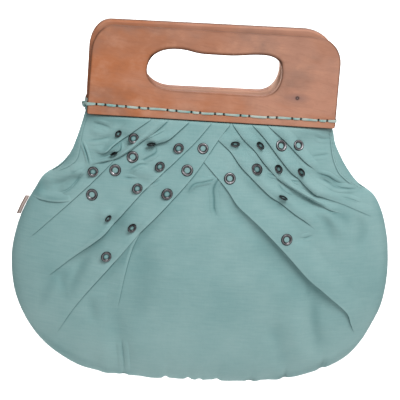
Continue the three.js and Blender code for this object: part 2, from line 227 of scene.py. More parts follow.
def blend_colours(tree, share, first, second):
    """A colour between two colours by share; each is a socket or red, green and blue."""
    ends = [end if isinstance(end, bpy.types.NodeSocket) else (*end, 1.0) for end in (first, second)]
    return node(tree, "ShaderNodeMix", {0: share, 6: ends[0], 7: ends[1]}, data_type="RGBA").outputs[2]


def object_place(tree):
    """Places in the object's own metres, which move along with the piece."""
    return node(tree, "ShaderNodeTexCoord").outputs["Object"]


def stored_shade(tree):
    """The shade value that is stored on the points of a mesh."""
    return node(tree, "ShaderNodeAttribute", attribute_name="shade").outputs["Fac"]


def bumped(tree, height, strength, distance, finer=None):
    """The normal of a surface with small heights, on top of a finer bump where there is one."""
    inputs = {"Height": height, "Strength": strength, "Distance": distance}
    if finer is not None:
        inputs["Normal"] = finer
    return node(tree, "ShaderNodeBump", inputs).outputs[0]


print("helpers for node graphs are ready")

# %% Cloth
CLOTH_COLOUR = (0.162, 0.300, 0.302)
CLOTH_PALE = (0.240, 0.376, 0.373)
# Painted light (also used for the paler stitch thread) and painted shade, blended in by the stored shade.
PAINTED_LIGHT_AND_THREAD_PALE = (0.300, 0.455, 0.448)
PAINTED_SHADE_COLOUR = (0.026, 0.116, 0.121)
THREADS_PER_METRE = 1700.0


def cotton_finish(name):
    """Plain weave: two crossed waves for the threads, long noise for slubs, soft noise for wear."""
    material, tree, shader = new_finish(name)
    place = node(tree, "ShaderNodeUVMap", uv_map="flat_cloth").outputs[0]
    split = node(tree, "ShaderNodeSeparateXYZ", {0: place})
    pitch = THREADS_PER_METRE * math.pi
    warp, weft = (maths(tree, "SINE", maths(tree, "MULTIPLY", split.outputs[k], pitch)) for k in (0, 1))
    weave = maths(tree, "MULTIPLY", warp, weft)
    across = noise(tree, place, (60.0, 620.0, 1.0), 3.0)
    down = noise(tree, place, (620.0, 80.0, 1.0), 2.0)
    cloud = noise(tree, place, (22.0, 22.0, 1.0), 5.0)
    ripple = noise(tree, place, (55.0, 75.0, 1.0), 3.0)
    threads = weighted(tree, across, 0.75, down, 0.25)
    tone = maths(tree, "SUBTRACT", weighted(tree, threads, 1.15, cloud, 1.5), 0.825)
    body = blend_colours(tree, tone, CLOTH_COLOUR, CLOTH_PALE)
    # The stored shade paints light below zero and paints shade above zero.
    shade = stored_shade(tree)
    body = blend_colours(tree, maths(tree, "MULTIPLY", shade, -1.0), body, PAINTED_LIGHT_AND_THREAD_PALE)
    weave_normal = bumped(tree, weighted(tree, weave, 0.35, threads, 0.9), 0.25, 0.0002)
    fill(tree, shader, {
        "Base Color": blend_colours(tree, shade, body, PAINTED_SHADE_COLOUR),
        "Normal": bumped(tree, ripple, 0.35, 0.0016, weave_normal),
        "Roughness": 0.86, "Sheen Weight": 0.15, "Sheen Roughness": 0.5, "Specular IOR Level": 0.2})
    return material


bag_cotton = cotton_finish("sea_green_cotton")
print("finish:", bag_cotton.name)

# %% [markdown]
# ## The bag's plain form
#
# Seen from the front the bag is a wide drop, seen from the side a slim teardrop, and at the sides it
# is open from the boards down to its shoulders. A short table of sections gives the outline and the
# free edges at each height, and a second one says how far each panel stands out. Reading both with a
# smooth curve gives a depth for any point of either panel, which every later piece can stand on.

# %% Sections of the bag
SECTIONS = np.array([
    # height, left, right, free edge
    (-322.5, -62, 48, 0.2), (-320, -87, 74, 0.2), (-314, -110, 103, 0.2), (-304, -128.5, 128, 0.2),
    (-292, -144, 147, 0.2), (-276, -157.5, 160, 0.2), (-256, -168.5, 169.5, 0.2), (-234, -175.5, 177, 0.2),
    (-205, -178, 179.5, 0.2), (-176, -173.8, 177, 0.2), (-154, -166.4, 172, 0.2), (-136, -157.2, 165, 0.2),
    (-123, -149.4, 156.0, 0.2), (-115, -137, 142.5, 5.0), (-104, -127.5, 132.5, 8.0), (-90, -122, 123, 9.0),
    (-76, -118, 115.5, 7.5), (-66, -115.5, 113, 5.0), (-59.5, -113.5, 110.5, 3.3), (-49.5, -106, 106, 3.0)])
BELLIES = np.array([
    # height, front, back; the front swells out right under its board
    (-205, 37, 29), (-160, 33, 26), (-130, 28.2, 22), (-108, 24, 18), (-92, 20.4, 14.5), (-80, 17.6, 11),
    (-72, 16.0, 8.6), (-67, 15.0, 6.6), (-64.5, 14.4, 5.2), (-63.2, 13.9, 4.8), (-62.5, 13.2, 4.5),
    (-62.2, 12.0, 4.4), (-61.9, 4.2, 4.2)])
HEM_TOP, HEM_FOOT, NECK_TOP, SLIT_FOOT = -49.5, -59.5, -61.9, -125.0
WIDEST, BAG_BOTTOM = -205.0, -322.5
CLOTH_THICKNESS, GAP = 1.4, 0.3
HEM_BEND, SEAM_LIP = 0.9, 0.2


def read_column(table, number, z):
    """Smooth curve through one column of a table, with no overshoot between its rows."""
    heights, values = table[:, 0], table[:, number]
    steps = np.diff(heights)
    slopes = np.diff(values) / steps
    inner = (values[2:] - values[:-2]) / (heights[2:] - heights[:-2])
    limit = 3 * np.minimum(np.abs(slopes[1:]), np.abs(slopes[:-1]))
    inner = np.where(slopes[1:] * slopes[:-1] <= 0, 0, np.sign(inner) * np.minimum(np.abs(inner), limit))
    tangents = np.concatenate([slopes[:1], inner, slopes[-1:]])
    z = np.clip(z, heights[0], heights[-1])
    i = np.clip(np.searchsorted(heights, z, side="right") - 1, 0, len(steps) - 1)
    t = (z - heights[i]) / steps[i]
    start, end = values[i], values[i + 1]
    curve = start * (1 + 2 * t) * (1 - t) ** 2 + end * t * t * (3 - 2 * t)
    return curve + steps[i] * (tangents[i] * t * (1 - t) ** 2 - tangents[i + 1] * t * t * (1 - t))


def outline(z, inset=0.0):
    """Left and right edge of both panels at height z."""
    return read_column(SECTIONS, 1, z) + inset, read_column(SECTIONS, 2, z) - inset


def bend_at(z):
    """Half angle of the arc that a panel makes across the bag: flat at the hem, round at the seam."""
    return HEM_BEND + (math.pi / 2 - HEM_BEND) * ease(NECK_TOP, SLIT_FOOT, z)


def bow_at(x, z, inset=0.0):
    """How far across the arc a point lies: 0 at the edge and 1 in the middle."""
    left, right = outline(z, inset)
    bend = bend_at(z)
    share = np.clip((x - (left + right) / 2) / np.maximum((right - left) / 2, 1e-3), -1, 1)
    angle = np.arcsin(share * np.sin(bend))
    return np.clip((np.cos(angle) - np.cos(bend)) / (1 - np.cos(bend)), 0, 1)


def belly_at(side, z):
    """How far the middle of a panel stands out; below the widest height it closes like a round end."""
    drop = np.clip((WIDEST - z) / (WIDEST - BAG_BOTTOM), 0, 1)
    return read_column(BELLIES, 1 if side < 0 else 2, z) * np.sqrt(np.maximum(1 - drop ** 2.4, 0))


def plain_depth(side, x, z, inset=0.0):
    """Distance from the seam plane: free edge, plus belly times the bow; fuller under the front board."""
    power = 1.1 - 0.8 * ease(-78, -63, z) * (side < 0)
    lip = np.maximum(read_column(SECTIONS, 3, z) - inset * ease(SLIT_FOOT, -104, z), SEAM_LIP)
    return lip + np.maximum(belly_at(side, z) - inset - lip, 0) * bow_at(x, z, inset) ** power


for height in (-90, -160, -205, -290):
    print("section", height, "depth", round(float(plain_depth(-1, 0.0, height)), 1))

# %% [markdown]
# ## Boards' own frame
#
# The boards lean together at the top, and the back one sits a little left, higher and rolled. Each
# piece on a board is worked out flat, along, up and outwards, and this one function carries it to its
# place. The hem of each panel lies on the inner face of its board, so it goes the same way.

# %% Places on a board
LEAN_TOP, TOP_GAP, BOARD_LEAN = 20.5, 1.2, math.radians(2.2)
BACK_SHIFT_X, BACK_SHIFT_Z, BACK_ROLL = -3.0, 2.7, math.radians(0.8)
BOARD_LEFT, BOARD_RIGHT, FLARE_LEFT, FLARE_RIGHT = 110.5, 112.5, 1.8, 0.5
BOARD_THICKNESS, BOARD_FOOT = 10.0, -61.5


def on_board(side, x, z, out):
    """Carries along, up and outwards of a board to the bag: a lean about its top edge, then a roll."""
    down = LEAN_TOP - z
    y = side * (TOP_GAP / 2 + down * math.sin(BOARD_LEAN) + out * math.cos(BOARD_LEAN))
    up = LEAN_TOP - down * math.cos(BOARD_LEAN) + out * math.sin(BOARD_LEAN)
    x, y, up = np.broadcast_arrays(x, y, up)
    if side < 0:
        return np.stack([x, y, up], axis=-1)
    turned_x = x * math.cos(BACK_ROLL) - up * math.sin(BACK_ROLL) + BACK_SHIFT_X
    turned_z = x * math.sin(BACK_ROLL) + up * math.cos(BACK_ROLL) + BACK_SHIFT_Z
    return np.stack([turned_x, y, turned_z], axis=-1)


print("front board foot:", on_board(-1, 0.0, BOARD_FOOT, 0.0).round(2))

# %% [markdown]
# ## Soft relief of the front
#
# Between the sharp folds the cloth swells and sinks: broad valleys hang below the long folds, the
# bottom seam puckers, and some eyelets tip the cloth around them. Each is a soft ridge along a short
# line, a bell curve of the distance to it, faded at both ends. A simulation would scatter such dents
# at random, and these are the ones that the bag shows.

# %% Distance to a line


def distance_to_line(x, z, line):
    """Signed distance to a broken line, left of its direction positive, with the place along it."""
    line = np.asarray(line, float)
    best = np.full(np.shape(x), np.inf)
    signed, along, length = np.zeros_like(best), np.zeros_like(best), 0.0
    for start, end in zip(line[:-1], line[1:]):
        step = end - start
        run = float(np.hypot(*step))
        t = np.clip(((x - start[0]) * step[0] + (z - start[1]) * step[1]) / run ** 2, 0, 1)
        dx, dz = x - start[0] - t * step[0], z - start[1] - t * step[1]
        distance = np.hypot(dx, dz)
        near = distance < best
        best = np.where(near, distance, best)
        signed = np.where(near, np.sign(step[0] * dz - step[1] * dx) * distance, signed)
        along = np.where(near, length + t * run, along)
        length += run
    return signed, along, length


def ridge(x, z, height, width, line):
    """A bell curve of the distance to a line, faded over a third of the line at both ends."""
    signed, along, length = distance_to_line(x, z, line)
    ends = ease(-0.1 * length, 0.35 * length, along) * ease(-0.1 * length, 0.35 * length, length - along)
    return height * np.exp(-(signed / width) ** 2) * ends


print("distance from a line:", distance_to_line(np.array([1.0]), np.array([2.0]), [(0, 0), (10, 0)])[0])

# %% Soft relief
SWELLS = [
    # height, width, line
    (-3.6, 11.0, [(50, -168), (76, -190), (108, -220), (132, -246)]),
    (-2.4, 7.0, [(8, -120), (24, -142), (44, -158), (64, -178)]),
    (-2.6, 7.0, [(-66, -146), (-86, -174), (-112, -198), (-140, -222)]),
    (-2.2, 7.0, [(-36, -146), (-56, -174), (-76, -202), (-104, -240)]),
    (-2.0, 4.0, [(10, -113), (6, -121), (7, -133), (10, -150)]),
    (1.2, 3.5, [(-20, -124), (-7, -115), (5, -111)]),
    (-3.2, 9.0, [(106, -214), (110, -249), (116, -268), (121, -292)]),
    (-2.4, 8.0, [(71, -240), (74, -258), (80, -276), (86, -304)]),
    (2.0, 8.0, [(92, -236), (96, -262), (102, -296)]),
    (-3.0, 9.0, [(-76, -236), (-73, -275), (-67, -293), (-66, -318)]),
    (-1.6, 14.0, [(-50, -172), (-52, -207), (-55, -258)]),
    (-2.0, 7.0, [(-104, -180), (-112, -202), (-122, -230)]),
    (-1.4, 5.0, [(-132, -209), (-124, -230)]),
    (-1.5, 6.0, [(-100, -232), (-96, -260)]),
    (-1.6, 4.0, [(107, -141), (112, -148), (117, -158), (123, -170)]),
    (1.8, 4.0, [(104, -136), (112, -140), (120, -147), (127, -155), (131, -166)]),
    (-2.0, 6.0, [(138, -141), (145, -150), (148, -161), (145, -176)]),
    (-2.6, 4.0, [(64, -112), (76, -120), (89, -127), (99, -133)]),
    (-2.8, 3.4, [(88, -124), (99, -131), (112, -136)]),
    (-2.2, 4.0, [(92, -101), (104, -107), (118, -112), (132, -116)]),
    (1.8, 4.0, [(98, -112), (112, -119), (130, -124)]),
    (-1.6, 4.0, [(-80, -114), (-65, -117), (-50, -119)]),
    (1.2, 4.0, [(-70, -109), (-58, -108), (-46, -111)]),
    (-2.4, 4.0, [(-107, -118), (-118, -122), (-134, -129), (-148, -134)]),
    (1.8, 4.5, [(-112, -112), (-124, -117), (-140, -124)]),
    (-1.8, 5.0, [(-150, -128), (-148, -140)]),
    (1.2, 3.4, [(-82, -89), (-88, -93), (-97, -94), (-106, -92)]),
    (-1.4, 3.0, [(-80, -95), (-89, -98), (-99, -100)]),
    (-1.8, 4.0, [(-36, -80), (-46, -84), (-56, -87), (-64, -88)]),
    (1.0, 3.4, [(-34, -74), (-46, -79), (-58, -84)]),
    (1.5, 4.0, [(-110, -77), (-98, -78), (-88, -76)]),
    (-1.2, 3.4, [(-108, -70), (-97, -73), (-88, -73)]),
    (-1.3, 3.4, [(-112, -85), (-94, -82), (-88, -79)]),
    (-0.7, 3.0, [(94, -70), (103, -72), (112, -71)]),
    (-0.7, 3.0, [(94, -88), (103, -87), (112, -86)]),
    (-1.3, 4.0, [(80, -165), (92, -163), (104, -160)]),
]
SEAM_RISE, SEAM_REACH, SEAM_POWER = 26.0, 125.0, 2.6
SEAM_NICKS = (-66.0, -26.0, -4.0, 7.0, 24.0, 56.0, 90.0, 125.0)
NICK, NICK_WIDTH, NICK_FADE = 1.6, 2.4, 10.0
PUCKER, PUCKER_FADE = 1.6, 12.0
ON_EDGE, FULL_TIP, TIPPED_SLOPE, ON_EDGE_SLOPE, TIPPED_SPREAD = 61, 50, 40.0, 8.0, 40.0
TIPPED_EYELETS = {
    # number: (across, height, tip in degrees, tipped towards)
    1: (-83, -78, 46, (0.80, -0.60)), 2: (-69, -81, 24, (0.75, -0.66)), 3: (-53, -85, 64, (0.15, -0.99)),
    4: (-28, -87, 24, (0.75, -0.66)), 8: (-104, -114, 20, (0.30, -0.95)), 9: (-44, -104, 30, (0.80, -0.60)),
    12: (-63, -125, 24, (0.80, -0.60)), 13: (-36, -128, 22, (0.80, -0.60)),
    14: (-88, -154, 52, (0.80, -0.60)), 15: (-66, -161, 38, (0.80, -0.60)),
    16: (-88, -190, 24, (0.80, -0.60)), 17: (-86, -95, 84, (0.40, -0.92)),
    18: (23, -80, 48, (0.05, -1.00)), 19: (46, -80, 50, (-0.70, -0.71)), 22: (44, -101, 26, (-0.85, -0.53)),
    23: (64, -100, 42, (-0.85, -0.53)), 24: (85, -102, 50, (-0.80, -0.60)),
    26: (70, -125, 60, (-0.35, -0.94))}


def above_seam(x, z):
    """Height of a point above the round bottom seam."""
    return np.clip(z - (BAG_BOTTOM + SEAM_RISE * (np.abs(x) / SEAM_REACH) ** SEAM_POWER), 0, None)


def seam_nicks(x):
    """Bell curves along the bottom seam where its thread draws the cloth in."""
    return sum(np.exp(-((x - place) / NICK_WIDTH) ** 2) for place in SEAM_NICKS)


def soft_relief(x, z):
    """Sum of the soft ridges and valleys, plus puckers and nicks that fade upwards from the bottom seam."""
    total = sum(ridge(x, z, *swell) for swell in SWELLS)
    rise = above_seam(x, z)
    pucker = np.sin(x / 4.9 + 0.8 * np.sin(x / 13.0)) * np.sin(x / 17.0 + 0.6) * ease(150, 100, np.abs(x))
    total = total + PUCKER * pucker * np.exp(-rise / PUCKER_FADE)
    total = total - NICK * seam_nicks(x) * np.exp(-rise / NICK_FADE)
    return total * ease(NECK_TOP, NECK_TOP - 9, z)


def tipped_cloth(x, z):
    """Slope of the cloth under each tipped eyelet: a plane faded by a bell curve of the distance."""
    total = np.zeros(np.shape(x))
    for place_x, place_z, tip, (to_x, to_z) in TIPPED_EYELETS.values():
        dx, dz = x - place_x, z - place_z
        steepest = math.radians(TIPPED_SLOPE if tip < ON_EDGE else ON_EDGE_SLOPE)
        slope = math.tan(steepest) * min(tip, FULL_TIP) / FULL_TIP
        total = total - slope * (to_x * dx + to_z * dz) * np.exp(-(dx * dx + dz * dz) / TIPPED_SPREAD)
    return total


def front_depth(x, z, inset=0.0):
    """Plain depth of the front panel with its soft relief, fading out towards the seams."""
    fade = ease(0.02, 0.30, bow_at(x, z))
    return plain_depth(-1, x, z, inset) + (soft_relief(x, z) + tipped_cloth(x, z)) * fade


grid_x, grid_z = np.meshgrid(np.linspace(-150, 150, 61), np.linspace(-300, -70, 47))
relief = soft_relief(grid_x, grid_z)
print("relief from", relief.min().round(2), "to", relief.max().round(2))

# %% [markdown]
# ## Soft shade of the cloth
#
# Cloth that is tucked in below a fold looks darker than the lamps alone make it, because it lies close
# and holds its own shadow. The bands below are painted shade for such places, and the seams, where the
# cloth turns away, get painted shade as well; the front gets painted light low down and right under its
# board. The value is stored on the points, where the cloth finish reads it, so no lamp is needed for each
# fold.

# %% Soft shade
# Painted shade along the seams where the cloth turns away; painted light low on the front and under its
# board.
SEAM_PAINTED_SHADE, LOW_PAINTED_LIGHT, TOP_PAINTED_LIGHT = 0.34, 0.30, 0.15
SHADE_BANDS = [
    # painted shade, width, line; the lines lie just below the long folds, where the cloth is tucked in
    (0.30, 3.4, [(-118, -64.5), (-96, -65), (-68, -65.5)]),
    (0.30, 4.6, [(40, -147), (62, -169), (90, -196), (116, -220), (138, -240)]),
    (0.15, 9.0, [(36, -150), (58, -174), (86, -202), (110, -226)]),
    (0.34, 5.5, [(-62, -138), (-80, -160), (-100, -181), (-120, -198)]),
    (0.32, 5.5, [(-30, -136), (-52, -162), (-76, -194), (-96, -222)]),
    (0.30, 5.0, [(28, -102), (44, -117), (62, -129), (84, -142)]),
    (0.16, 4.0, [(62, -112), (76, -121), (90, -129), (104, -135)]),
    (0.60, 1.1, [(90, -125), (96, -128.5), (102, -132)]),
    (0.45, 1.1, [(112, -136), (118, -138.5), (125, -140.5)]),
    (0.45, 1.2, [(92, -118), (99, -123), (106, -125)]),
    (0.24, 4.0, [(99, -103), (111, -106), (119, -112), (129, -115)]),
    (0.30, 3.0, [(-116, -68), (-121, -88), (-124, -101), (-131, -109), (-143, -117)]),
    (0.14, 3.0, [(113, -68), (119, -88), (128, -101), (138, -110)]),
    (0.16, 4.0, [(-40, -83), (-52, -87), (-62, -88)]),
    (0.18, 5.0, [(-82, -92), (-92, -97), (-104, -102)]),
    (0.42, 3.4, [(-98, -95), (-91, -91), (-84, -87), (-76, -80)]),
    (0.20, 7.0, [(-110, -114), (-122, -122), (-140, -132)]),
    (0.30, 2.8, [(97, -196), (100, -208), (104, -224)]),
    (0.34, 5.5, [(106, -214), (109, -230), (112, -248), (117, -268), (121, -290)]),
    (0.20, 6.5, [(72, -244), (76, -262), (80, -278), (86, -302)]),
    (0.16, 8.0, [(-74, -230), (-74, -258), (-70, -284), (-66, -312)]),
    (0.18, 5.0, [(-132, -207), (-139, -225), (-145, -240), (-150, -254)]),
    (0.20, 13.0, [(-50, -162), (-51, -192), (-56, -218), (-57, -240), (-62, -268)]),
    (0.24, 4.5, [(-101, -180), (-108, -200), (-115, -216), (-122, -238)]),
    (0.18, 4.5, [(-119, -204), (-127, -218), (-124, -229), (-119, -240)]),
    (0.20, 5.0, [(-101, -230), (-96, -260)]),
    (0.20, 3.5, [(106, -140), (112, -148), (117, -158), (123, -170)]),
    (0.24, 4.0, [(114, -137), (124, -140), (130, -143), (137, -148)]),
    (0.17, 5.5, [(141, -143), (147, -152), (148, -161), (146, -174)]),
    (0.26, 2.8, [(77, -125), (86, -126), (94, -127), (102, -129)]),
    (0.14, 5.0, [(10, -112), (6, -121), (7, -134), (11, -150)]),
    (0.16, 4.0, [(4, -114), (-6, -117), (-14, -121), (-18, -130)]),
    (0.30, 5.0, [(-150, -129), (-154, -137), (-158, -145)]),
    (0.22, 4.0, [(-122, -139), (-134, -142), (-150, -143)]),
    (0.18, 5.0, [(-62, -92), (-54, -91), (-47, -87)]),
    (0.14, 5.0, [(52, -103), (60, -107), (70, -108)]),
]


def panel_shade(side, x, z):
    """Painted shade along the seams; the front adds painted shade bands and painted light low down and on
    top.
    """
    side_seam = ease(0.36, 0.06, bow_at(x, z)) * ease(-112, -145, z)
    seam = SEAM_PAINTED_SHADE * np.maximum(side_seam, ease(9, 1, above_seam(x, z)))
    if side > 0:
        return seam
    bands = np.max([ridge(x, z, *band) for band in SHADE_BANDS], axis=0)
    return bands + seam - LOW_PAINTED_LIGHT * ease(-225, -290, z) - TOP_PAINTED_LIGHT * ease(-65, -63, z)


print("darkest band:", panel_shade(-1, grid_x, grid_z).max().round(2))

# %% [markdown]
# ## Cloth panels
#
# Each panel is a wall of cloth: an outer and an inner face and the narrow rims that join them. The
# columns are spaced by angle across the arc, and the rows below the widest height by angle too, so the
# grid closes neatly on the seam. The back panel is plainer, with even gathers that fan out below its
# hem.

# %% Panel grids
PLEAT_STEP, PLEAT_HEIGHT, PLEAT_FAN, PLEAT_REACH, PLEAT_FOOT = 22.0, 2.6, 0.35, 99.0, -175.0
NICK_LIFT, NICK_LIFT_FADE = 2.2, 5.0


def panel_rows(neck_rows, bottom_rows):
    """Row heights: the hem, then the neck in growing steps, then the round bottom by angle."""
    hem = np.linspace(HEM_TOP, HEM_FOOT, 5)
    neck = NECK_TOP + (WIDEST - NECK_TOP) * np.linspace(0, 1, neck_rows) ** 1.25
    bottom = WIDEST + (BAG_BOTTOM - WIDEST) * np.sin(np.linspace(0, math.pi / 2, bottom_rows)[1:])
    return np.concatenate([hem, neck, bottom])


def pleat_spread(z):
    """How far the back's gathers have fanned out at height z, as a share of their places at the hem."""
    return 1 + PLEAT_FAN * (NECK_TOP - z) / 100.0


def back_depth(x, z, inset=0.0):
    """Plain depth of the back panel with even gathers that die out below its hem."""
    flat_x = x / pleat_spread(z)
    wave = 0.5 + 0.5 * np.cos(2 * math.pi * flat_x / PLEAT_STEP)
    wave = wave ** 1.6 * (1 - ease(0.8, 1.05, np.abs(flat_x) / PLEAT_REACH))
    wave = wave * ease(NECK_TOP, NECK_TOP - 10, z) * (1 - ease(NECK_TOP - 15, PLEAT_FOOT, z))
    swell = np.sin(x / 31.0 + z / 47.0) * np.sin(z / 29.0)
    fade = ease(0.02, 0.35, bow_at(x, z))
    return plain_depth(1, x, z, inset) + (PLEAT_HEIGHT * wave + swell * ease(-80, -120, z)) * fade


def panel_depth(side, x, z, inset=0.0):
    """Depth of the finished front (-1) or back (1) panel."""
    return front_depth(x, z, inset) if side < 0 else back_depth(x, z, inset)


def panel_face(side, rows, columns, inset):
    """One face of a panel as a grid: hem rows on the board, the others on the bag's form."""
    z = rows[:, None] + np.zeros(columns)[None, :]
    left, right = outline(z, inset)
    angle = np.linspace(-1, 1, columns)[None, :] * bend_at(z)
    x = (left + right) / 2 + (right - left) / 2 * np.sin(angle) / np.sin(bend_at(z))
    depth = panel_depth(side, x, z, inset)
    drawn_up = NICK_LIFT * seam_nicks(x) * np.exp(-above_seam(x, z) / NICK_LIFT_FADE)
    lift = inset * ease(-290, BAG_BOTTOM, z) + drawn_up
    free = np.stack([x, side * depth, z + lift], axis=-1)
    along = (left + right) / 2 + (right - left) / 2 * np.linspace(-1, 1, columns)[None, :]
    hem = on_board(side, along, z, -GAP - inset)
    return np.where((z >= HEM_FOOT)[..., None], hem, free)


def panel_surfaces(side, rows, columns):
    """Outer face, inner face and the rims round all four edges."""
    outer = panel_face(side, rows, columns, 0.0)
    inner = panel_face(side, rows, columns, CLOTH_THICKNESS)
    flat = outer[..., [0, 2]]
    pairs = np.stack([outer, inner], axis=2)
    rim = np.concatenate([pairs[0], pairs[1:, -1], pairs[-1, -2::-1], pairs[-2:0:-1, 0]])
    shade = panel_shade(side, outer[..., 0], outer[..., 2])
    return [surface(outer, flat, shade, flip=side < 0), surface(inner, flat, flip=side > 0),
            surface(rim, rim[..., [0, 2]], wrap_rows=True, flip=side > 0)]


front_rows, back_rows = panel_rows(96, 62), panel_rows(60, 44)
panel_front = add_piece("bag_front", panel_surfaces(-1, front_rows, 210), bag_cotton)
panel_back = add_piece("bag_back", panel_surfaces(1, back_rows, 150), bag_cotton)
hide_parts("panel_front")
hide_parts("panel_back")

# %% [markdown]
# ## Lines of the folds
#
# The long folds of the front fall to the left below an apex and to the right on its other side, and in
# between the cloth is pinched into small creases. They could be cut into one fine grid, but then each
# change would mean a new grid. Here each is a line of places on the bag with a rise and a width, so a
# fold can be moved by itself.

# %% Fold lines
LEFT_FOLDS = [
    # roundness, reach of the skirt and its painted shadow below, line of (across, height, rise, width of
    # the lap)
    (0.5, 1.7, [(-53, -61, 1.8, 9), (-67, -72, 2.0, 9), (-78, -81, 2.2, 8), (-87, -88, 2.6, 6),
                (-94, -95, 2.6, 5), (-101, -96, 2.0, 5), (-109, -94.5, 0.8, 5)]),
    (0.9, 2.3, [(-38, -61, 2.0, 9), (-49, -72, 2.6, 9), (-60, -81, 3.8, 7), (-68, -88, 4.4, 5),
                (-77, -95, 4.2, 4.4), (-85, -100, 3.6, 4), (-97, -104, 3.2, 3.4), (-106, -108, 2.4, 3),
                (-112, -112, 1.2, 3)]),
    (0.0, 1.5, [(-84, -99, 0.8, 2), (-90, -106, 1.4, 3), (-97, -114, 1.7, 6), (-104, -122, 1.7, 10),
                (-122, -141, 1.5, 14), (-145, -165, 1.2, 14), (-168, -190, 0.5, 12)]),
    (0.4, 2.2, [(-19, -61, 1.8, 11), (-29, -71, 2.6, 11), (-38, -79, 4.0, 10), (-48, -83, 4.4, 8),
                (-60, -86, 2.0, 6)]),
    (0.2, 1.9, [(1, -61, 1.6, 11), (-12, -78, 1.8, 13), (-20, -87, 1.8, 15), (-42, -110, 2.0, 17),
                (-59, -128, 2.4, 19), (-82, -157, 3.0, 20), (-92, -170, 3.0, 20), (-105, -182, 2.4, 18),
                (-125, -199, 1.6, 16), (-150, -224, 0.6, 14)]),
    (0.2, 1.9, [(18, -61, 1.6, 10), (7, -77, 1.6, 12), (-5, -97, 1.8, 15), (-15, -112, 2.0, 18),
                (-29, -130, 2.2, 20), (-45, -149, 2.6, 20), (-59, -165, 2.8, 20), (-76, -188, 2.4, 20),
                (-89, -205, 2.0, 20), (-108, -231, 1.6, 18), (-121, -252, 1.3, 16),
                (-138, -286, 0.6, 14)]),
    (0.1, 1.4, [(-54, -156, 0.9, 9), (-64, -178, 1.4, 11), (-70, -203, 1.4, 13), (-73, -222, 1.2, 13),
                (-77, -250, 0.5, 12)]),
    (0.5, 1.9, [(-119, -139.5, 2.0, 6), (-127, -142.5, 2.6, 8), (-136, -144, 2.8, 9),
                (-146, -144.5, 2.4, 9), (-155, -144, 1.5, 9), (-163, -142, 0.5, 8)]),
]
RIGHT_FOLDS = [
    # roundness, reach of the skirt and its painted shadow below, line of (across, height, rise, width of
    # the lap)
    (0.1, 1.3, [(-7, -94, 1.0, 12), (10, -111, 1.8, 15), (20, -122, 2.2, 17), (29, -134, 2.8, 20),
                (41, -144, 3.4, 22), (54, -155, 4.0, 24), (76, -176, 4.4, 24), (99, -200, 4.4, 24),
                (117, -215, 4.0, 22), (140, -235, 3.2, 18), (147, -249, 2.2, 14), (155, -268, 0.7, 10)]),
    (0.7, 1.7, [(4, -74, 1.4, 10), (19, -86, 2.6, 11), (30, -99, 3.2, 12), (44, -112, 3.2, 12),
                (58, -124, 3.0, 12), (71, -132, 2.8, 12), (84, -141, 2.6, 12), (95, -148, 2.2, 11),
                (108, -160, 0.7, 10)]),
    (0.7, 1.6, [(19, -61, 1.8, 10), (30, -74, 2.8, 10), (42, -85, 3.2, 10), (51, -95, 3.4, 9),
                (63, -107, 3.4, 8), (73, -114, 3.4, 6), (82, -119, 3.4, 4.5), (93, -125, 3.6, 4),
                (101, -129, 3.4, 4.5), (111, -134, 2.6, 6), (122, -138, 1.6, 7), (135, -141, 0.4, 8)]),
    (0.7, 1.6, [(37, -61, 1.8, 10), (50, -73, 3.0, 10), (63, -88, 3.4, 10), (76.5, -102.5, 3.8, 10),
                (84, -108, 4.0, 9), (91, -114.5, 4.4, 9), (100, -121.5, 4.4, 9), (106, -123.5, 3.0, 8),
                (116, -127, 1.4, 8), (128, -131, 1.0, 9), (140, -136, 1.0, 9), (154, -142, 0.8, 9),
                (168, -149, 0.4, 9)]),
    (0.6, 1.4, [(51, -61, 1.6, 10), (68, -74, 2.6, 10), (80, -85, 3.0, 9), (88, -92, 3.2, 8),
                (96, -98, 2.8, 7), (102, -105, 0.8, 5)]),
]
CREASES = [
    # rise, width, painted shade in the valley, line
    (1.0, 3.0, 0.75, [(-117, -85), (-111, -98), (-107, -111)]),
    (1.0, 2.8, 0.80, [(-35, -69), (-46, -75), (-53, -79), (-62, -83)]),
    (1.0, 3.0, 0.65, [(-81, -83), (-80, -91), (-84, -95.5), (-91, -99)]),
    (0.6, 5.0, 0.28, [(-109, -69), (-98, -71), (-88, -74)]),
    (0.6, 5.0, 0.28, [(-113, -87), (-98, -84), (-87, -80)]),
    (0.9, 4.5, 0.50, [(-66, -103), (-56, -97), (-48, -91), (-51, -84)]),
    (0.7, 4.0, 0.40, [(-74, -112), (-62, -103), (-49, -104)]),
    (0.8, 4.0, 0.50, [(-80, -116), (-65, -117), (-51, -119)]),
    (1.3, 7.0, 0.45, [(-108, -108), (-114, -117), (-120, -126), (-127, -133), (-138, -138)]),
    (0.9, 7.0, 0.30, [(-109, -110), (-119, -115), (-127, -117)]),
    (0.6, 4.0, 0.35, [(-107, -121), (-115, -121), (-121, -125)]),
    (0.7, 4.0, 0.35, [(62, -111), (71, -120), (82, -126)]),
    (0.6, 3.0, 0.40, [(74, -110), (86, -111)]),
    (0.8, 3.5, 0.45, [(52, -104), (62, -106), (73, -106)]),
    (1.1, 4.5, 0.46, [(97, -100), (101, -103.5), (111, -106), (119, -111), (130, -115)]),
    (1.0, 4.5, 0.42, [(97, -105), (109, -110), (119, -115), (131, -117), (143, -117)]),
    (0.7, 4.5, 0.35, [(80, -166), (92, -163), (103, -159)]),
    (0.8, 4.5, 0.50, [(15, -105), (9, -113), (6, -121), (7, -130), (8, -139), (12, -149)]),
    (0.6, 4.0, 0.40, [(14, -110), (3, -113), (-5, -115), (-12, -117), (-16, -122), (-17, -130)]),
    (0.4, 4.5, 0.18, [(93, -69), (103, -72), (113, -71)]),
    (0.4, 4.5, 0.22, [(90, -88), (101, -87), (113, -85)]),
    (0.7, 4.0, 0.35, [(118, -124), (132, -126), (148, -132)]),
    (0.5, 4.0, 0.35, [(-40, -114), (-52, -120), (-60, -121)]),
    (0.9, 6.0, 0.30, [(-71, -270), (-68, -290), (-65.5, -316)]),
]
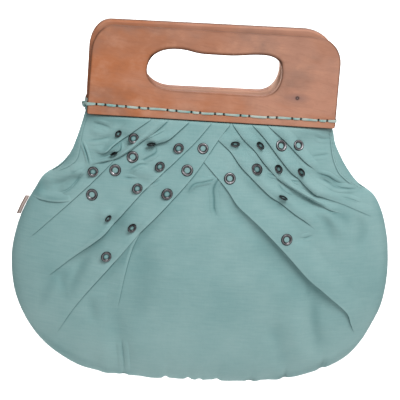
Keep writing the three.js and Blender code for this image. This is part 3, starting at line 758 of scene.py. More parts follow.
HEM_FOLDS = [
    # raised side, line of (across, height, rise, width) along the inner edge of a slit's hem
    (-1, [(-111, -62, 0.5, 4), (-115, -74, 0.7, 5), (-117, -88, 0.8, 7), (-119, -102, 0.8, 9),
          (-124, -109, 0.8, 9), (-133, -115, 0.7, 7), (-146, -122, 0.5, 4)]),
    (1, [(108, -62, 0.5, 3), (111, -74, 0.7, 4), (114, -88, 0.8, 6), (120, -101, 0.8, 8),
          (127, -108, 0.8, 8), (137, -115, 0.7, 6), (149, -121, 0.5, 4)]),
]
print("folds:", len(LEFT_FOLDS), "left,", len(RIGHT_FOLDS), "right; creases:", len(CREASES))

# %% Paths along the lines
LAP_STEP = 1.5


def smooth_path(line, step):
    """Even steps along a smooth curve through the points of a line (a cardinal spline)."""
    p = np.asarray(line, float)
    p = np.vstack([2 * p[0] - p[1], p, 2 * p[-1] - p[-2]])
    t = np.linspace(0, 1, 24, endpoint=False)[:, None]
    parts = []
    for a, b, c, d in zip(p[:-3], p[1:-2], p[2:-1], p[3:]):
        parts.append(0.5 * (2 * b + (c - a) * t + (2 * a - 5 * b + 4 * c - d) * t ** 2
                            + (3 * b - a - 3 * c + d) * t ** 3))
    dense = np.vstack(parts + [p[-2:-1]])
    run = np.concatenate([[0], np.cumsum(np.hypot(*np.diff(dense[:, :2], axis=0).T))])
    even = np.linspace(0, run[-1], max(int(run[-1] / step), 8))
    return np.stack([np.interp(even, run, dense[:, k]) for k in range(p.shape[1])], axis=1), even


def beside_path(path):
    """Unit directions to the left of a path, smoothed over five steps."""
    ahead = np.gradient(path[:, :2], axis=0)
    five = np.ones(5) / 5
    padded = np.pad(ahead, ((2, 2), (0, 0)), mode="edge")
    ahead = unit(np.stack([np.convolve(padded[:, k], five, "valid") for k in (0, 1)], axis=1))
    return np.stack([-ahead[:, 1], ahead[:, 0]], axis=1)


fold_paths = [smooth_path(fold[2], LAP_STEP) for fold in LEFT_FOLDS + RIGHT_FOLDS]
print("longest fold:", round(max(run[-1] for path, run in fold_paths)), "mm")

# %% [markdown]
# ## Laps and creases
#
# Each fold is cloth that laps over its neighbour: it rises slowly from the bag, turns round a soft nose
# along its line, and tucks back under itself. A displaced grid would show steps along a slanting edge,
# so each lap is its own strip, one rounded profile carried along its line on the panel's depth. Its far
# side sinks just below the cloth, where it can't be told from it, and a narrow skirt in front of the
# nose holds a painted shadow, the thin dark line that such a fold shows; the top of the nose holds a
# painted highlight. A crease is two low ridges with painted shade in the valley between them.

# %% Section of a lap
LAP_ROLL = 0.38
# Across the nose: painted highlight below zero, painted shade above zero.
NOSE_SHARE, NOSE_MOST, NOSE_PAINTED_SHADES = 0.4, 0.55, [-0.22, -0.05, 0.2, 0.5, 0.8]
SKIRT = np.array([
    # reach, lift and painted shadow of the thin dark edge in front of a nose
    (0.15, 0.07, 0.95), (0.45, 0.08, 0.60), (0.75, 0.07, 0.24), (1.1, -0.12, 0.0)])


def lap_section(rise, width, roundness, skirt):
    """Reach and lift across a lap: sloping top, round nose, wall and thin skirt; with its painted highlight
    and shade.
    """
    s = 1.06 * (1 - np.linspace(0, 1, 18)) ** 1.2
    plain = (1 - np.minimum(s, 1)) ** 1.15
    curl = np.sqrt(1 - 0.8 * ((LAP_ROLL - np.minimum(s, LAP_ROLL)) / LAP_ROLL) ** 2)
    rolled = np.where(s > LAP_ROLL, 1 - ease(LAP_ROLL, 1.0, s), curl)
    top = plain + (rolled - plain) * roundness
    edge = rise[:, None] * top[-1]
    nose = np.minimum(NOSE_SHARE * edge, NOSE_MOST)
    turn = np.linspace(math.pi / 2, 0, 6)[None, 1:]
    skirt_reach, skirt_lift, skirt_painted_shadow = SKIRT.T
    reach = np.concatenate([width[:, None] * s, -nose * np.cos(turn), -0.5 * nose, 0.1 + 0 * nose,
                            -skirt[:, None] * skirt_reach - nose * 0.6], axis=1)
    lift = np.concatenate([rise[:, None] * top, edge - nose * (1 - np.sin(turn)), 0.25 * edge, 0 * edge,
                           skirt_lift + 0 * edge], axis=1)
    # Painted highlight on top near the nose, painted shade round the nose and wall, painted shadow on the
    # skirt.
    shade = np.concatenate([-0.30 * np.exp(-s / 0.07), NOSE_PAINTED_SHADES, [1.0, 1.0], skirt_painted_shadow])
    return reach, lift, shade


print("points across a lap:", len(lap_section(np.ones(1), np.ones(1), 0.0, np.ones(1))[2]))

# %% Fold strips
LAP_SINK, EDGE_KEEP = 0.07, 0.4
HEM_START, FREE_START, LAP_TAPER, CREASE_TAPER = 0.8, 6, 22, 12
HEM_SKIRT, PLEAT_SKIRT, PLEAT_ROUNDNESS = 1.4, 1.8, 0.4


def strip_on_cloth(side, path, beside, reach, lift, shade, ends, flip):
    """Carries a section along a path on a panel, sunk at its ends; its painted shade and light add to the
    panel's own.
    """
    x = path[:, :1] + beside[:, :1] * reach
    z = path[:, 1:2] + beside[:, 1:] * reach
    left, right = outline(z)
    x = np.clip(x, left + EDGE_KEEP, right - EDGE_KEEP)
    calm = ease(0.0, 0.12, bow_at(x, z)) * (0.25 + 0.75 * ends[:, None])
    depth = panel_depth(side, x, z) + lift * calm - LAP_SINK * (1.6 - ends[:, None])
    points = np.stack([x, side * depth, z], axis=-1)
    below = panel_shade(side, x, z)
    darkened = below + shade * (1 - np.clip(below, 0, 1))
    dark = np.where(shade < -0.02, shade + np.minimum(below, 0), darkened)
    return surface(points, points[..., [0, 2]], dark, flip=flip)


def lap_surface(side, raised, roundness, skirt, line):
    """One lap: its section carried along its line, raised to the left (1) or right (-1) of the line."""
    path, run = smooth_path(line, LAP_STEP)
    start = HEM_START if line[0][1] > NECK_TOP else FREE_START
    ends = ease(0, start, run) * ease(0, min(LAP_TAPER, 0.25 * run[-1]), run[-1] - run)
    reach, lift, shade = lap_section(path[:, 2] * ends, path[:, 3], roundness, skirt * (0.4 + 0.6 * ends))
    uneven = 0.82 + 0.18 * np.sin(run / 8.0 + path[0, 0]) * np.sin(run / 21.0)
    strength = ends * uneven * np.clip(path[:, 2] / 2.0, 0.5, 1.0)
    beside = raised * beside_path(path)
    shade = shade * strength[:, None]
    return strip_on_cloth(side, path, beside, reach, lift, shade, ends, raised * side < 0)


def crease_surface(rise, width, darkness, line):
    """A pinch in the cloth: two low ridges with painted shade in the valley between them."""
    path, run = smooth_path(line, LAP_STEP)
    taper = min(CREASE_TAPER, 0.35 * run[-1])
    ends = ease(0, taper, run) * ease(0, taper, run[-1] - run)
    t = np.linspace(-1, 1, 25)
    bent = np.abs(t) ** 0.75
    lift = rise * ends[:, None] * 4 * bent * (1 - bent) + 0.12 * (1 - np.abs(t) ** 6)
    shade = darkness * np.exp(-(t * width / (0.4 + 0.12 * width)) ** 2)
    beside = beside_path(path)
    return strip_on_cloth(-1, path, beside, width * t + 0 * lift, lift, shade * ends[:, None], ends, True)


def back_pleat(x):
    """Line of one gather on the back, from its place at the hem down to where it dies out."""
    z = np.array([-61.0, -78.0, -104.0, -150.0 + 0.35 * abs(x)])
    return np.stack([x * pleat_spread(z), z, [1.2, 2.0, 1.6, 0.4], [8, 9, 10, 10]], axis=1)


front_laps = [lap_surface(-1, -1, *fold) for fold in LEFT_FOLDS]
front_laps += [lap_surface(-1, 1, *fold) for fold in RIGHT_FOLDS]
front_laps += [lap_surface(-1, side, 0.0, HEM_SKIRT, line) for side, line in HEM_FOLDS]
front_laps += [crease_surface(*crease) for crease in CREASES]
front_folds = add_piece("bag_front_folds", front_laps, bag_cotton)
pleats = PLEAT_STEP * np.arange(-3.5, 4.0)
back_laps = [lap_surface(1, -np.sign(x), PLEAT_ROUNDNESS, PLEAT_SKIRT, back_pleat(x)) for x in pleats]
back_folds = add_piece("bag_back_folds", back_laps, bag_cotton)

# %% [markdown]
# ## Stitches
#
# The free edges of the side slits are hemmed with a row of short stitches. Each is a small flat bead of
# thread at even steps along the hem. Drawn on the cloth they would vanish when the bag is seen from the
# side, and as beads they are only a few dozen faces each.

# %% Stitches along the slits
STITCH_PITCH, STITCH_LENGTH, STITCH_THICK = 3.2, 2.1, 0.5
STITCH_LIFT, STITCH_INSET, STITCH_SHADE = 0.75, 1.6, -0.15


def stitch_surface(x, z, along):
    """A short thread lying on the hem: a flat bead, longer along the hem than it is wide."""
    a = np.linspace(0, math.pi, 9)[:, None]
    t = full_turn(8)[None, :]
    ahead = -0.5 * STITCH_LENGTH * np.cos(a) + 0 * t
    across = 0.5 * STITCH_THICK * np.sin(a) * np.cos(t)
    lift = STITCH_LIFT + 0.5 * STITCH_THICK * np.sin(a) * np.sin(t)
    px = x + along[0] * ahead - along[1] * across
    pz = z + along[1] * ahead + along[0] * across
    points = np.stack([px, -(front_depth(px, pz) + lift), pz], axis=-1)
    return surface(points, points[..., [0, 2]], np.full(px.shape, STITCH_SHADE), wrap_columns=True)


stitches = []
for side, line in HEM_FOLDS:
    path = smooth_path(line, STITCH_PITCH)[0][:, :2]
    beside = beside_path(path)
    places = path + side * STITCH_INSET * beside
    for (x, z), (left_x, left_z) in zip(places[1:-2], beside[1:-2]):
        stitches.append(stitch_surface(x, z, (left_z, -left_x)))
hem_stitches = add_piece("slit_stitches", stitches, bag_cotton)

# %% [markdown]
# ## Wood
#
# The boards are reddish hardwood, orange on the left and pinker to the right, with long streaks along
# the grain, grey smudges from handling and one small knot on the front. Noise that is stretched along
# the board runs through the wood as real grain does, so the edges fit the faces, which a picture wrapped
# round the board would not do. The shade on the points paints shade onto the arrises, or paints light
# where the lamps leave an edge or wall too dark.

# %% Wood finish
WOOD_ORANGE = (0.385, 0.138, 0.060)
WOOD_PINK = (0.420, 0.206, 0.138)
WOOD_GREY = (0.260, 0.148, 0.110)
WOOD_DARK = (0.140, 0.054, 0.032)
WOOD_PALE = (0.500, 0.250, 0.160)
WOOD_PAINTED_LIGHT = (0.800, 0.520, 0.390)
WOOD_PAINTED_SHADE = (0.045, 0.022, 0.016)
KNOT_HALO = (0.200, 0.115, 0.100)
KNOT_EYE = (0.040, 0.024, 0.024)
KNOT_CORE = (0.300, 0.200, 0.180)
KNOT_PLACE, KNOT_STRETCH = (0.0761, -0.0125, -0.0351), (0.50, 0.0, 1.3)
GRAIN_SLANT, GRAIN_WANDER = 0.08, 0.030


def wood_knot(tree, place, body):
    """A dark eye with a paler core, in an oval halo drawn out along the grain: three ramps of distance."""
    away = node(tree, "ShaderNodeVectorMath", {0: place, 1: KNOT_PLACE}, operation="SUBTRACT").outputs[0]
    oval = node(tree, "ShaderNodeMapping", {"Vector": away, "Scale": KNOT_STRETCH}).outputs[0]
    far, near = (node(tree, "ShaderNodeVectorMath", {0: reach}, operation="LENGTH").outputs["Value"]
                 for reach in (oval, away))
    body = blend_colours(tree, ramp(tree, far, 0.0068, 0.001, 0.0, 0.66), body, KNOT_HALO)
    body = blend_colours(tree, ramp(tree, near, 0.0024, 0.0012, 0.0, 0.92), body, KNOT_EYE)
    return blend_colours(tree, ramp(tree, near, 0.0009, 0.0003, 0.0, 0.6), body, KNOT_CORE)


def oiled_wood(name, is_front):
    """Streaks and pores along the grain over a slow change of tone; only the front has a knot."""
    material, tree, shader = new_finish(name)
    place = object_place(tree)
    x, y, z = node(tree, "ShaderNodeSeparateXYZ", {0: place}).outputs
    wander = noise(tree, place, (8.0, 8.0, 22.0), 3.0)
    wave = maths(tree, "ADD", z, weighted(tree, x, GRAIN_SLANT, wander, GRAIN_WANDER))
    bent = node(tree, "ShaderNodeCombineXYZ", {0: x, 1: y, 2: wave}).outputs[0]
    streaks = noise(tree, bent, (16.0, 40.0, 110.0), 5.0, 0.62)
    fibres = noise(tree, bent, (70.0, 200.0, 800.0), 3.0, 0.6)
    clouds = noise(tree, bent, (14.0, 20.0, 30.0), 3.0)
    smudges = noise(tree, bent, (20.0, 24.0, 34.0), 4.0)
    blotches = noise(tree, place, (52.0, 60.0, 66.0), 5.0, 0.6)
    drift = maths(tree, "MULTIPLY", maths(tree, "SUBTRACT", clouds, 0.5), 3.0)
    tone = maths(tree, "ADD", ramp(tree, x, -0.10, 0.05), drift)
    body = blend_colours(tree, tone, WOOD_ORANGE, WOOD_PINK)
    grey = ramp(tree, smudges, 0.46, 0.72, 0.0, 0.68)
    if is_front:
        grey = maths(tree, "ADD", grey, ramp(tree, z, -0.012, 0.004, 0.0, 0.30))
    for share, colour in ((grey, WOOD_GREY),
                          (ramp(tree, blotches, 0.50, 0.74, 0.0, 0.60), WOOD_PALE),
                          (ramp(tree, blotches, 0.46, 0.24, 0.0, 0.24), WOOD_DARK),
                          (ramp(tree, streaks, 0.52, 0.80, 0.0, 0.18), WOOD_DARK),
                          (ramp(tree, streaks, 0.46, 0.26, 0.0, 0.20), WOOD_PALE),
                          (ramp(tree, fibres, 0.52, 0.80, 0.0, 0.22), WOOD_DARK)):
        body = blend_colours(tree, share, body, colour)
    if is_front:
        body = wood_knot(tree, place, body)
    # The stored shade paints light below zero and paints shade above zero; painted shade also dulls the
    # gloss.
    shade = stored_shade(tree)
    body = blend_colours(tree, maths(tree, "MULTIPLY", shade, -1.0), body, WOOD_PAINTED_LIGHT)
    fill(tree, shader, {
        "Base Color": blend_colours(tree, shade, body, WOOD_PAINTED_SHADE),
        "Normal": bumped(tree, fibres, 0.15, 0.0003),
        "Roughness": ramp(tree, streaks, 0.3, 0.8, 0.58, 0.74),
        "Specular IOR Level": ramp(tree, shade, 0.0, 0.4, 0.22, 0.02)})
    return material


front_wood = oiled_wood("oiled_hardwood_front", True)
back_wood = oiled_wood("oiled_hardwood_back", False)
print("finishes:", front_wood.name, back_wood.name)

# %% [markdown]
# ## Outlines of the boards
#
# A board is cut along two closed lines: its rim, with round upper corners and a foot that is a little
# wider, and the slot for the fingers, with two low humps along its top. Both are put together from arcs
# and curves with handles, as a maker would draw them, and cut into even steps.

# %% Board outlines
GRIP_HEIGHTS = {-1: 19.3, 1: 21.0}
CORNERS = {-1: ((20.0, 25.0), (21.0, 23.0)), 1: ((19.0, 25.0), (31.0, 28.0))}
SLOT_LEFT, SLOT_HUMPS, SLOT_DIP = 60.5, (1.35, 0.8), 1.6
SLOT_RIGHT, SLOT_HEIGHT = {-1: 60.5, 1: 62.3}, {-1: 36.0, 1: 37.6}
FOOT_CORNER, ARRIS = 2.0, 1.5
LACE_PAIRS = np.array([-100, -81.5, -61.5, -36, -14.5, 7, 30, 55, 77, 101])
LACE_HOLES = np.sort(np.concatenate([LACE_PAIRS - 4, LACE_PAIRS + 4]))
LACE_HEIGHT, LACE_CLIMB, LACE_HOLE_RADIUS = -54.5, 2.3, 1.4


def lace_height(x):
    """Height of the row of holes on a board; it climbs a little to the left end."""
    return LACE_HEIGHT + LACE_CLIMB * ease(15, -115, x)


def corner_arc(x, z, across, up, start, end, count=24):
    """Points of an oval arc about x, z with its two half widths; angles in degrees."""
    a = np.radians(np.linspace(start, end, count))
    return np.stack([x + across * np.cos(a), z + up * np.sin(a)], axis=1)


def handle_curve(a, b, c, d, count=24):
    """Points of a cubic curve with two handles."""
    t = np.linspace(0, 1, count)[:, None]
    a, b, c, d = (np.asarray(p, float) for p in (a, b, c, d))
    return a * (1 - t) ** 3 + 3 * b * t * (1 - t) ** 2 + 3 * c * t * t * (1 - t) + d * t ** 3


def even_loop(parts, count):
    """A closed line through all parts, cut into even steps."""
    loop = np.vstack(parts + [parts[0][:1]])
    run = np.concatenate([[0], np.cumsum(np.hypot(*np.diff(loop, axis=0).T))])
    even = np.linspace(0, run[-1], count, endpoint=False)
    return np.stack([np.interp(even, run, loop[:, k]) for k in (0, 1)], axis=1)


def rim_line(side, count):
    """Outer edge of a board, anticlockwise from the middle of its right side; it flares to its foot."""
    left, right, top, foot = -BOARD_LEFT, BOARD_RIGHT, GRIP_HEIGHTS[side], BOARD_FOOT + FOOT_CORNER
    (left_across, left_up), (right_across, right_up) = CORNERS[side]
    return even_loop([
        np.array([(right + 0.1, -20.0)]),
        corner_arc(right - right_across, top - right_up, right_across, right_up, 0, 90),
        corner_arc(left + left_across, top - left_up, left_across, left_up, 90, 180),
        corner_arc(left - FLARE_LEFT + FOOT_CORNER, foot, FOOT_CORNER, FOOT_CORNER, 180, 270, 10),
        corner_arc(right + FLARE_RIGHT - FOOT_CORNER, foot, FOOT_CORNER, FOOT_CORNER, 270, 360, 10)], count)


def slot_line(side, count):
    """Edge of the hand slot, anticlockwise from its right end, with two low humps over the fingers."""
    left, right, low, foot = -SLOT_LEFT, SLOT_RIGHT[side], -SLOT_DIP, -SLOT_HEIGHT[side]
    left_hump, right_hump = SLOT_HUMPS
    return even_loop([
        handle_curve((right, -15), (right, -6), (right - 4, right_hump), (right - 17.5, right_hump)),
        handle_curve((right - 17.5, right_hump), (right - 32.5, right_hump), (24, low), (8, low)),
        handle_curve((-8, low), (-20, low), (-22, left_hump), (left + 26.5, left_hump)),
        handle_curve((left + 26.5, left_hump), (left + 9.5, left_hump), (left, -6.5), (left, -19)),
        handle_curve((left, -19), (left, -27.5), (left + 9, foot), (left + 26, foot)),
        handle_curve((right - 19, foot), (right - 7, foot), (right, -28), (right, -15))], count)


def ahead_on(loop):
    """Unit directions along a closed line."""
    return unit(np.roll(loop, -1, axis=0) - np.roll(loop, 1, axis=0))


def away_from(loop):
    """Unit directions that point out of an anticlockwise closed line."""
    ahead = ahead_on(loop)
    return np.stack([ahead[:, 1], -ahead[:, 0]], axis=1)


print("rim", rim_line(-1, 360).round(1)[0], "slot", slot_line(-1, 360).round(1)[0])

# %% [markdown]
# ## Grip boards
#
# Each board has softly rounded arrises and a row of lacing holes near its foot. One rounded section is
# carried round between slot and rim: over the face, round the edge and back on the inner side, so the
# rounding is true everywhere, where a Bevel would bunch up at the humps. The small holes are bored with a
# Boolean, because a grid of rings has no room for them.

# %% Edges of the boards
EDGE_SHADES = {
    # side and line: painted shade (above zero) and painted light (below zero) from the face over the arris
    # to the edge, for edges that face up, down, left and right
    (-1, "rim"): ((0.05, 0.14, 0.26, 0.38, 0.44, 0.44), (0.0, 0.0, 0.05, 0.10, 0.20, 0.20),
                  (0.05, 0.25, 0.50, 0.60, 0.60, 0.60), (0.05, 0.30, 0.65, 0.95, 1.0, 1.0)),
    (-1, "slot"): ((0.08, 0.26, 0.36, 0.37, 0.38, 0.34), (0.15, 0.38, 0.55, 0.65, 0.70, 0.70),
                   (0.15, 0.45, 0.55, 0.30, 0.0, -0.40), (0.05, 0.25, 0.50, 0.60, 0.50, 0.40)),
    (1, "rim"): ((-0.12, -0.10, 0.0, 0.12, 0.20, 0.26), (0.0, 0.05, 0.20, 0.30, 0.30, 0.30),
                 (0.0, 0.10, 0.30, 0.40, 0.40, 0.40), (0.0, 0.10, 0.20, 0.30, 0.30, 0.30)),
    (1, "slot"): ((-0.40, -0.36, -0.20, 0.02, 0.14, 0.14), (0.45, 0.80, 0.90, 0.90, 0.90, 0.90),
                  (-0.90, -0.90, -0.90, -0.90, -0.90, -0.90), (0.05, 0.25, 0.40, 0.50, 0.50, 0.40))}
# The back board ends in a line of painted shade along its top.
FAR_RIM_PAINTED_SHADE = {-1: 0.0, 1: 0.70}


def facing_up(out):
    """How much each place of a line faces up, from 0 to 1."""
    return ease(0.3, 0.9, out[:, 1])


def facing_down(out):
    """How much each place of a line faces down, from 0 to 1."""
    return ease(0.2, 0.7, -out[:, 1])


def edge_shade(out, profiles):
    """Shade from face to edge at each place of a line, blended from four profiles by the way it faces."""
    ways = [facing_up(out), facing_down(out), ease(0.4, 0.95, -out[:, 0]), ease(0.4, 0.95, out[:, 0])]
    return sum(way[:, None] * np.array(profile) for way, profile in zip(ways, profiles))


def arris_rows(line, out, radius, turns=6):
    """A quarter round from the face to the edge along a line: flat places and depth below the face."""
    a = np.linspace(0, math.pi / 2, turns)
    flat = line[:, None] - out[:, None] * (radius[:, None] * (1 - np.sin(a)))[..., None]
    return flat, radius[:, None] * (1 - np.cos(a))


print("edge shades:", len(EDGE_SHADES), "lines with four ways to face")

# %% Boards
FOOT_ARRIS, GRIP_ROUNDING = 0.7, 1.3
HOLE_SIDES, BAR_OVERHANG, WELD_REACH, SHARP_ANGLE = 20, 3.0, 0.00001, math.radians(40)


def board_surface(side, count=420):
    """A rounded section carried between slot and rim: face, edge, inner face and slot wall."""
    rim, slot = rim_line(side, count), slot_line(side, count)
    rim_out, slot_out = away_from(rim), -away_from(slot)
    rim_radius = ARRIS - (ARRIS - FOOT_ARRIS) * facing_down(rim_out)
    outer, outer_drop = arris_rows(rim, rim_out, rim_radius)
    inner, inner_drop = arris_rows(slot, slot_out, ARRIS + GRIP_ROUNDING * facing_down(slot_out))
    share = np.array([0.04, 0.5, 0.97])[None, :, None]
    face = outer[:, :1] * share + inner[:, :1] * (1 - share)
    top, level = np.full((count, 3), BOARD_THICKNESS), np.zeros((count, 3))
    flat = np.concatenate([face, outer, outer[:, ::-1], face[:, ::-1], inner, inner[:, ::-1]], axis=1)
    out = np.concatenate([top, BOARD_THICKNESS - outer_drop, outer_drop[:, ::-1], level, inner_drop,
                          BOARD_THICKNESS - inner_drop[:, ::-1]], axis=1)
    rim_shade = edge_shade(rim_out, EDGE_SHADES[side, "rim"])
    slot_shade = edge_shade(slot_out, EDGE_SHADES[side, "slot"])
    growing = np.linspace(0, 1, rim_shade.shape[1])
    far_rim = rim_shade + FAR_RIM_PAINTED_SHADE[side] * facing_up(rim_out)[:, None] * growing
    shade = np.concatenate([level, far_rim, rim_shade[:, ::-1], rim_shade[:, :1], level[:, :1],
                            slot_shade[:, :1], slot_shade, slot_shade[:, ::-1]], axis=1)
    points = on_board(side, flat[..., 0], flat[..., 1], out)
    return surface(points, shade=shade, wrap_rows=True, wrap_columns=True, flip=side < 0)


def bore_holes(board, side):
    """Cuts the lacing holes with one joined set of small round bars."""
    turn = full_turn(HOLE_SIDES)
    size = LACE_HOLE_RADIUS * np.array([0, 1, 1, 0])[:, None]
    across, up = size * np.cos(turn), size * np.sin(turn)
    depth = np.repeat([-BAR_OVERHANG, BOARD_THICKNESS + BAR_OVERHANG], 2)[:, None] + 0 * turn
    bars = []
    for x in LACE_HOLES:
        points = on_board(side, x + across, lace_height(x) + up, depth)
        bars.append(surface(points, wrap_columns=True))
    cutter = add_piece("hole_bars", bars, board.data.materials[0])
    weld = cutter.modifiers.new("weld", "WELD")
    weld.merge_threshold = WELD_REACH
    cut = board.modifiers.new("holes", "BOOLEAN")
    cut.operation, cut.solver, cut.object = "DIFFERENCE", "EXACT", cutter
    bpy.context.view_layer.update()
    bored = bpy.data.meshes.new_from_object(board.evaluated_get(bpy.context.evaluated_depsgraph_get()))
    board.modifiers.remove(cut)
    board.data = bored
    bored.set_sharp_from_angle(angle=SHARP_ANGLE)
    bpy.data.objects.remove(cutter)
    print(board.name, "bored:", len(bored.polygons), "faces")


for side, name, wood, solid in ((-1, "board_front", front_wood, "handle_front"),
                                (1, "board_back", back_wood, "handle_back")):
    board = add_piece(name, [board_surface(side)], wood)
    bore_holes(board, side)
    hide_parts(solid)

# %% [markdown]
# ## Ribbon finish
#
# The ribbon is a silky teal band, paler in slow patches, with painted shade where it dips into a hole.
# Very fine noise along it stands for the cross threads, a slow one for the changes of tone, and the shade
# on the points paints the shade in the dips, since so narrow a band gets too few pixels for real threads.

# %% Ribbon finish
RIBBON_COLOUR = (0.165, 0.325, 0.308)
RIBBON_PALE = (0.385, 0.440, 0.395)
RIBBON_PAINTED_SHADE = (0.022, 0.050, 0.052)


def ribbon_finish():
    """Close cross threads with a silky sheen, paler in patches, with painted shade where the ribbon dips.
    """
    material, tree, shader = new_finish("teal_ribbon")
    place = object_place(tree)
    ribs = noise(tree, place, (2600.0, 300.0, 300.0), 1.0)
    patches = noise(tree, place, (110.0, 110.0, 220.0), 2.0)
    body = blend_colours(tree, ramp(tree, patches, 0.36, 0.66), RIBBON_COLOUR, RIBBON_PALE)
    fill(tree, shader, {
        "Base Color": blend_colours(tree, stored_shade(tree), body, RIBBON_PAINTED_SHADE),
        "Normal": bumped(tree, ribs, 0.25, 0.0002),
        "Roughness": 0.5, "Sheen Weight": 0.15})
    return material


teal_ribbon = ribbon_finish()
print("finish:", teal_ribbon.name)

# %% [markdown]
# ## Lacing ribbon
#
# A narrow ribbon runs along each board, dips into every hole and comes up again, so between the holes
# it lies as short pale bands. It goes right round the ends of the board, and on the front it is tied
# off in a small knot on the left. It is a flat section carried along one closed path: the dips are
# bell curves at the holes, where the ribbon also narrows.

# %% Ribbons
RIBBON_WIDTH, RIBBON_THICKNESS, RIBBON_STEP = 2.05, 0.6, 0.35
RIBBON_FRONT, RIBBON_BACK, RIBBON_BESIDE, RIBBON_BEND = BOARD_THICKNESS + 0.45, -2.3, 0.6, 1.2
DIP_DEPTH, DIP_WIDTH, DIP_NARROWING = 2.2, 1.1, 0.25
TIE_ACROSS, TIE_ABOVE, TIE_OUT = -115.0, 2.0, 7.5
TIE_SIZE, TIE_WIDE, TIE_THICK, TIE_PAINTED_SHADE = np.array([0.50, 0.9, 0.72]), 1.15, 0.8, 0.5


def ribbon_surface(side):
    """A flat oval section carried round the board, dipping and narrowing at each hole."""
    left = -BOARD_LEFT - FLARE_LEFT - RIBBON_BESIDE
    right = BOARD_RIGHT + FLARE_RIGHT + RIBBON_BESIDE
    front, back, bend = RIBBON_FRONT, RIBBON_BACK, RIBBON_BEND
    run = np.arange(left + bend, right - bend, RIBBON_STEP)
    quarter = np.radians(np.linspace(0, 90, 6))
    quarter_turn = bend * np.stack([np.cos(quarter), np.sin(quarter)], axis=1)
    left_turn = np.stack([-quarter_turn[:, 1], quarter_turn[:, 0]], axis=1)
    path = np.vstack([
        np.stack([run[::-1], np.full_like(run, front)], 1), (left + bend, front - bend) + left_turn,
        (left + bend, back + bend) - quarter_turn, np.stack([run, np.full_like(run, back)], 1),
        (right - bend, back + bend) - left_turn, (right - bend, front - bend) + quarter_turn])
    near = np.abs(path[:, :1] - LACE_HOLES[None, :]).min(axis=1)
    dip = np.exp(-(near / DIP_WIDTH) ** 2)
    level = np.where(path[:, 1] > BOARD_THICKNESS, 1.0, np.where(path[:, 1] < -1.9, -0.25, 0.0))
    path[:, 1] -= level * dip * DIP_DEPTH
    out = away_from(path)
    t = full_turn(14)
    taper = 1.0 + 0.30 * ease(100, 113, np.abs(path[:, 0]))
    wide = (RIBBON_WIDTH / 2) * taper * (1 - DIP_NARROWING * dip) * (1 + 0.07 * np.sin(path[:, 0] / 3.1))
    sway = 0.2 * np.sin(path[:, 0] / 9.0) + 0.12 * np.sin(path[:, 0] / 4.3)
    thick = RIBBON_THICKNESS / 2
    flatten = np.sign(np.sin(t)) * np.abs(np.sin(t)) ** 0.6
    along = path[:, :1] + out[:, :1] * thick * flatten[None, :]
    outwards = path[:, 1:] + out[:, 1:] * thick * flatten[None, :]
    up = (lace_height(path[:, 0]) + sway)[:, None] + wide[:, None] * np.cos(t)[None, :]
    points = on_board(side, along, up, outwards)
    # Painted shade where the front ribbon dips into a hole.
    shade = np.broadcast_to((ease(0.30, 0.70, dip) * (level > 0))[:, None], along.shape)
    return surface(points, shade=shade, wrap_rows=True, wrap_columns=True, flip=side > 0)


def knot_surface():
    """A thick ribbon tube along a trefoil line, pulled small: the tied end of the lacing, darkened by
    painted shade.
    """
    s = full_turn(120)
    trefoil = [np.sin(s) + 2 * np.sin(2 * s), 0.9 * np.sin(3 * s), np.cos(s) - 2 * np.cos(2 * s)]
    line = np.stack(trefoil, axis=1) * TIE_SIZE
    ahead = ahead_on(line)
    beside = unit(np.cross(ahead, [0.0, 1.0, 0.0]))
    above = np.cross(beside, ahead)
    t = full_turn(10)[None, :, None]
    tube = line[:, None] + TIE_WIDE * np.cos(t) * beside[:, None] + TIE_THICK * np.sin(t) * above[:, None]
    across, out, up = np.moveaxis(tube, -1, 0)
    points = on_board(-1, TIE_ACROSS + across, LACE_HEIGHT + TIE_ABOVE + up, TIE_OUT + out)
    # Painted shade: the knot is the same ribbon, darker all over.
    shade = np.full(points.shape[:2], TIE_PAINTED_SHADE)
    return surface(points, shade=shade, wrap_rows=True, wrap_columns=True, flip=True)


front_lacing = [ribbon_surface(-1), knot_surface()]
ribbon_front = add_piece("ribbon_lacing_front", front_lacing, teal_ribbon)
ribbon_back = add_piece("ribbon_lacing_back", [ribbon_surface(1)], teal_ribbon)
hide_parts("ribbon_front")
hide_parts("ribbon_back")

# %% [markdown]
# ## Gunmetal
#
# The eyelets are plated dark and worn brighter along the crown, and their edges are black, partly dirt
# in the hollows and partly painted shade and reflection. The wear is noise of about the size of a ring,
# so no two rings look alike, and the shade on the points tells the finish which rows of a ring are edges
# and how much darker a tipped ring is painted.

# %% Metal finish
CROWN_DARK = (0.168, 0.166, 0.176)
CROWN_BRIGHT = (0.420, 0.410, 0.430)
EDGE_DIRT_AND_PAINTED_SHADE = (0.010, 0.011, 0.012)


def gunmetal_finish():
    """Dark plated metal: worn pale along the crown of the ring, black in its edges from dirt and painted
    shade, uneven in gloss.
    """
    material, tree, shader = new_finish("gunmetal")
    worn = noise(tree, object_place(tree), (420.0, 420.0, 420.0), 3.0)
    crown = blend_colours(tree, ramp(tree, worn, 0.35, 0.70), CROWN_DARK, CROWN_BRIGHT)
    fill(tree, shader, {
        "Base Color": blend_colours(tree, stored_shade(tree), crown, EDGE_DIRT_AND_PAINTED_SHADE),
        "Normal": bumped(tree, worn, 0.1, 0.0002),
        "Roughness": ramp(tree, worn, 0.3, 0.7, 0.48, 0.34), "Metallic": 1.0})
    return material


gunmetal = gunmetal_finish()
print("finish:", gunmetal.name)

# %% [markdown]
# ## Cloth under an eyelet
#
# An eyelet lies on the fold it is pressed through. Its solid gives the place, and rays cast onto the
# dressed cloth tell how the cloth slopes there: a plane is fitted to the places where the rays arrive.
# That holds however the folds are moved, which a table of angles would not.

# %% Slope of the cloth
RAY_START, RAY_COUNT = -0.2, 16


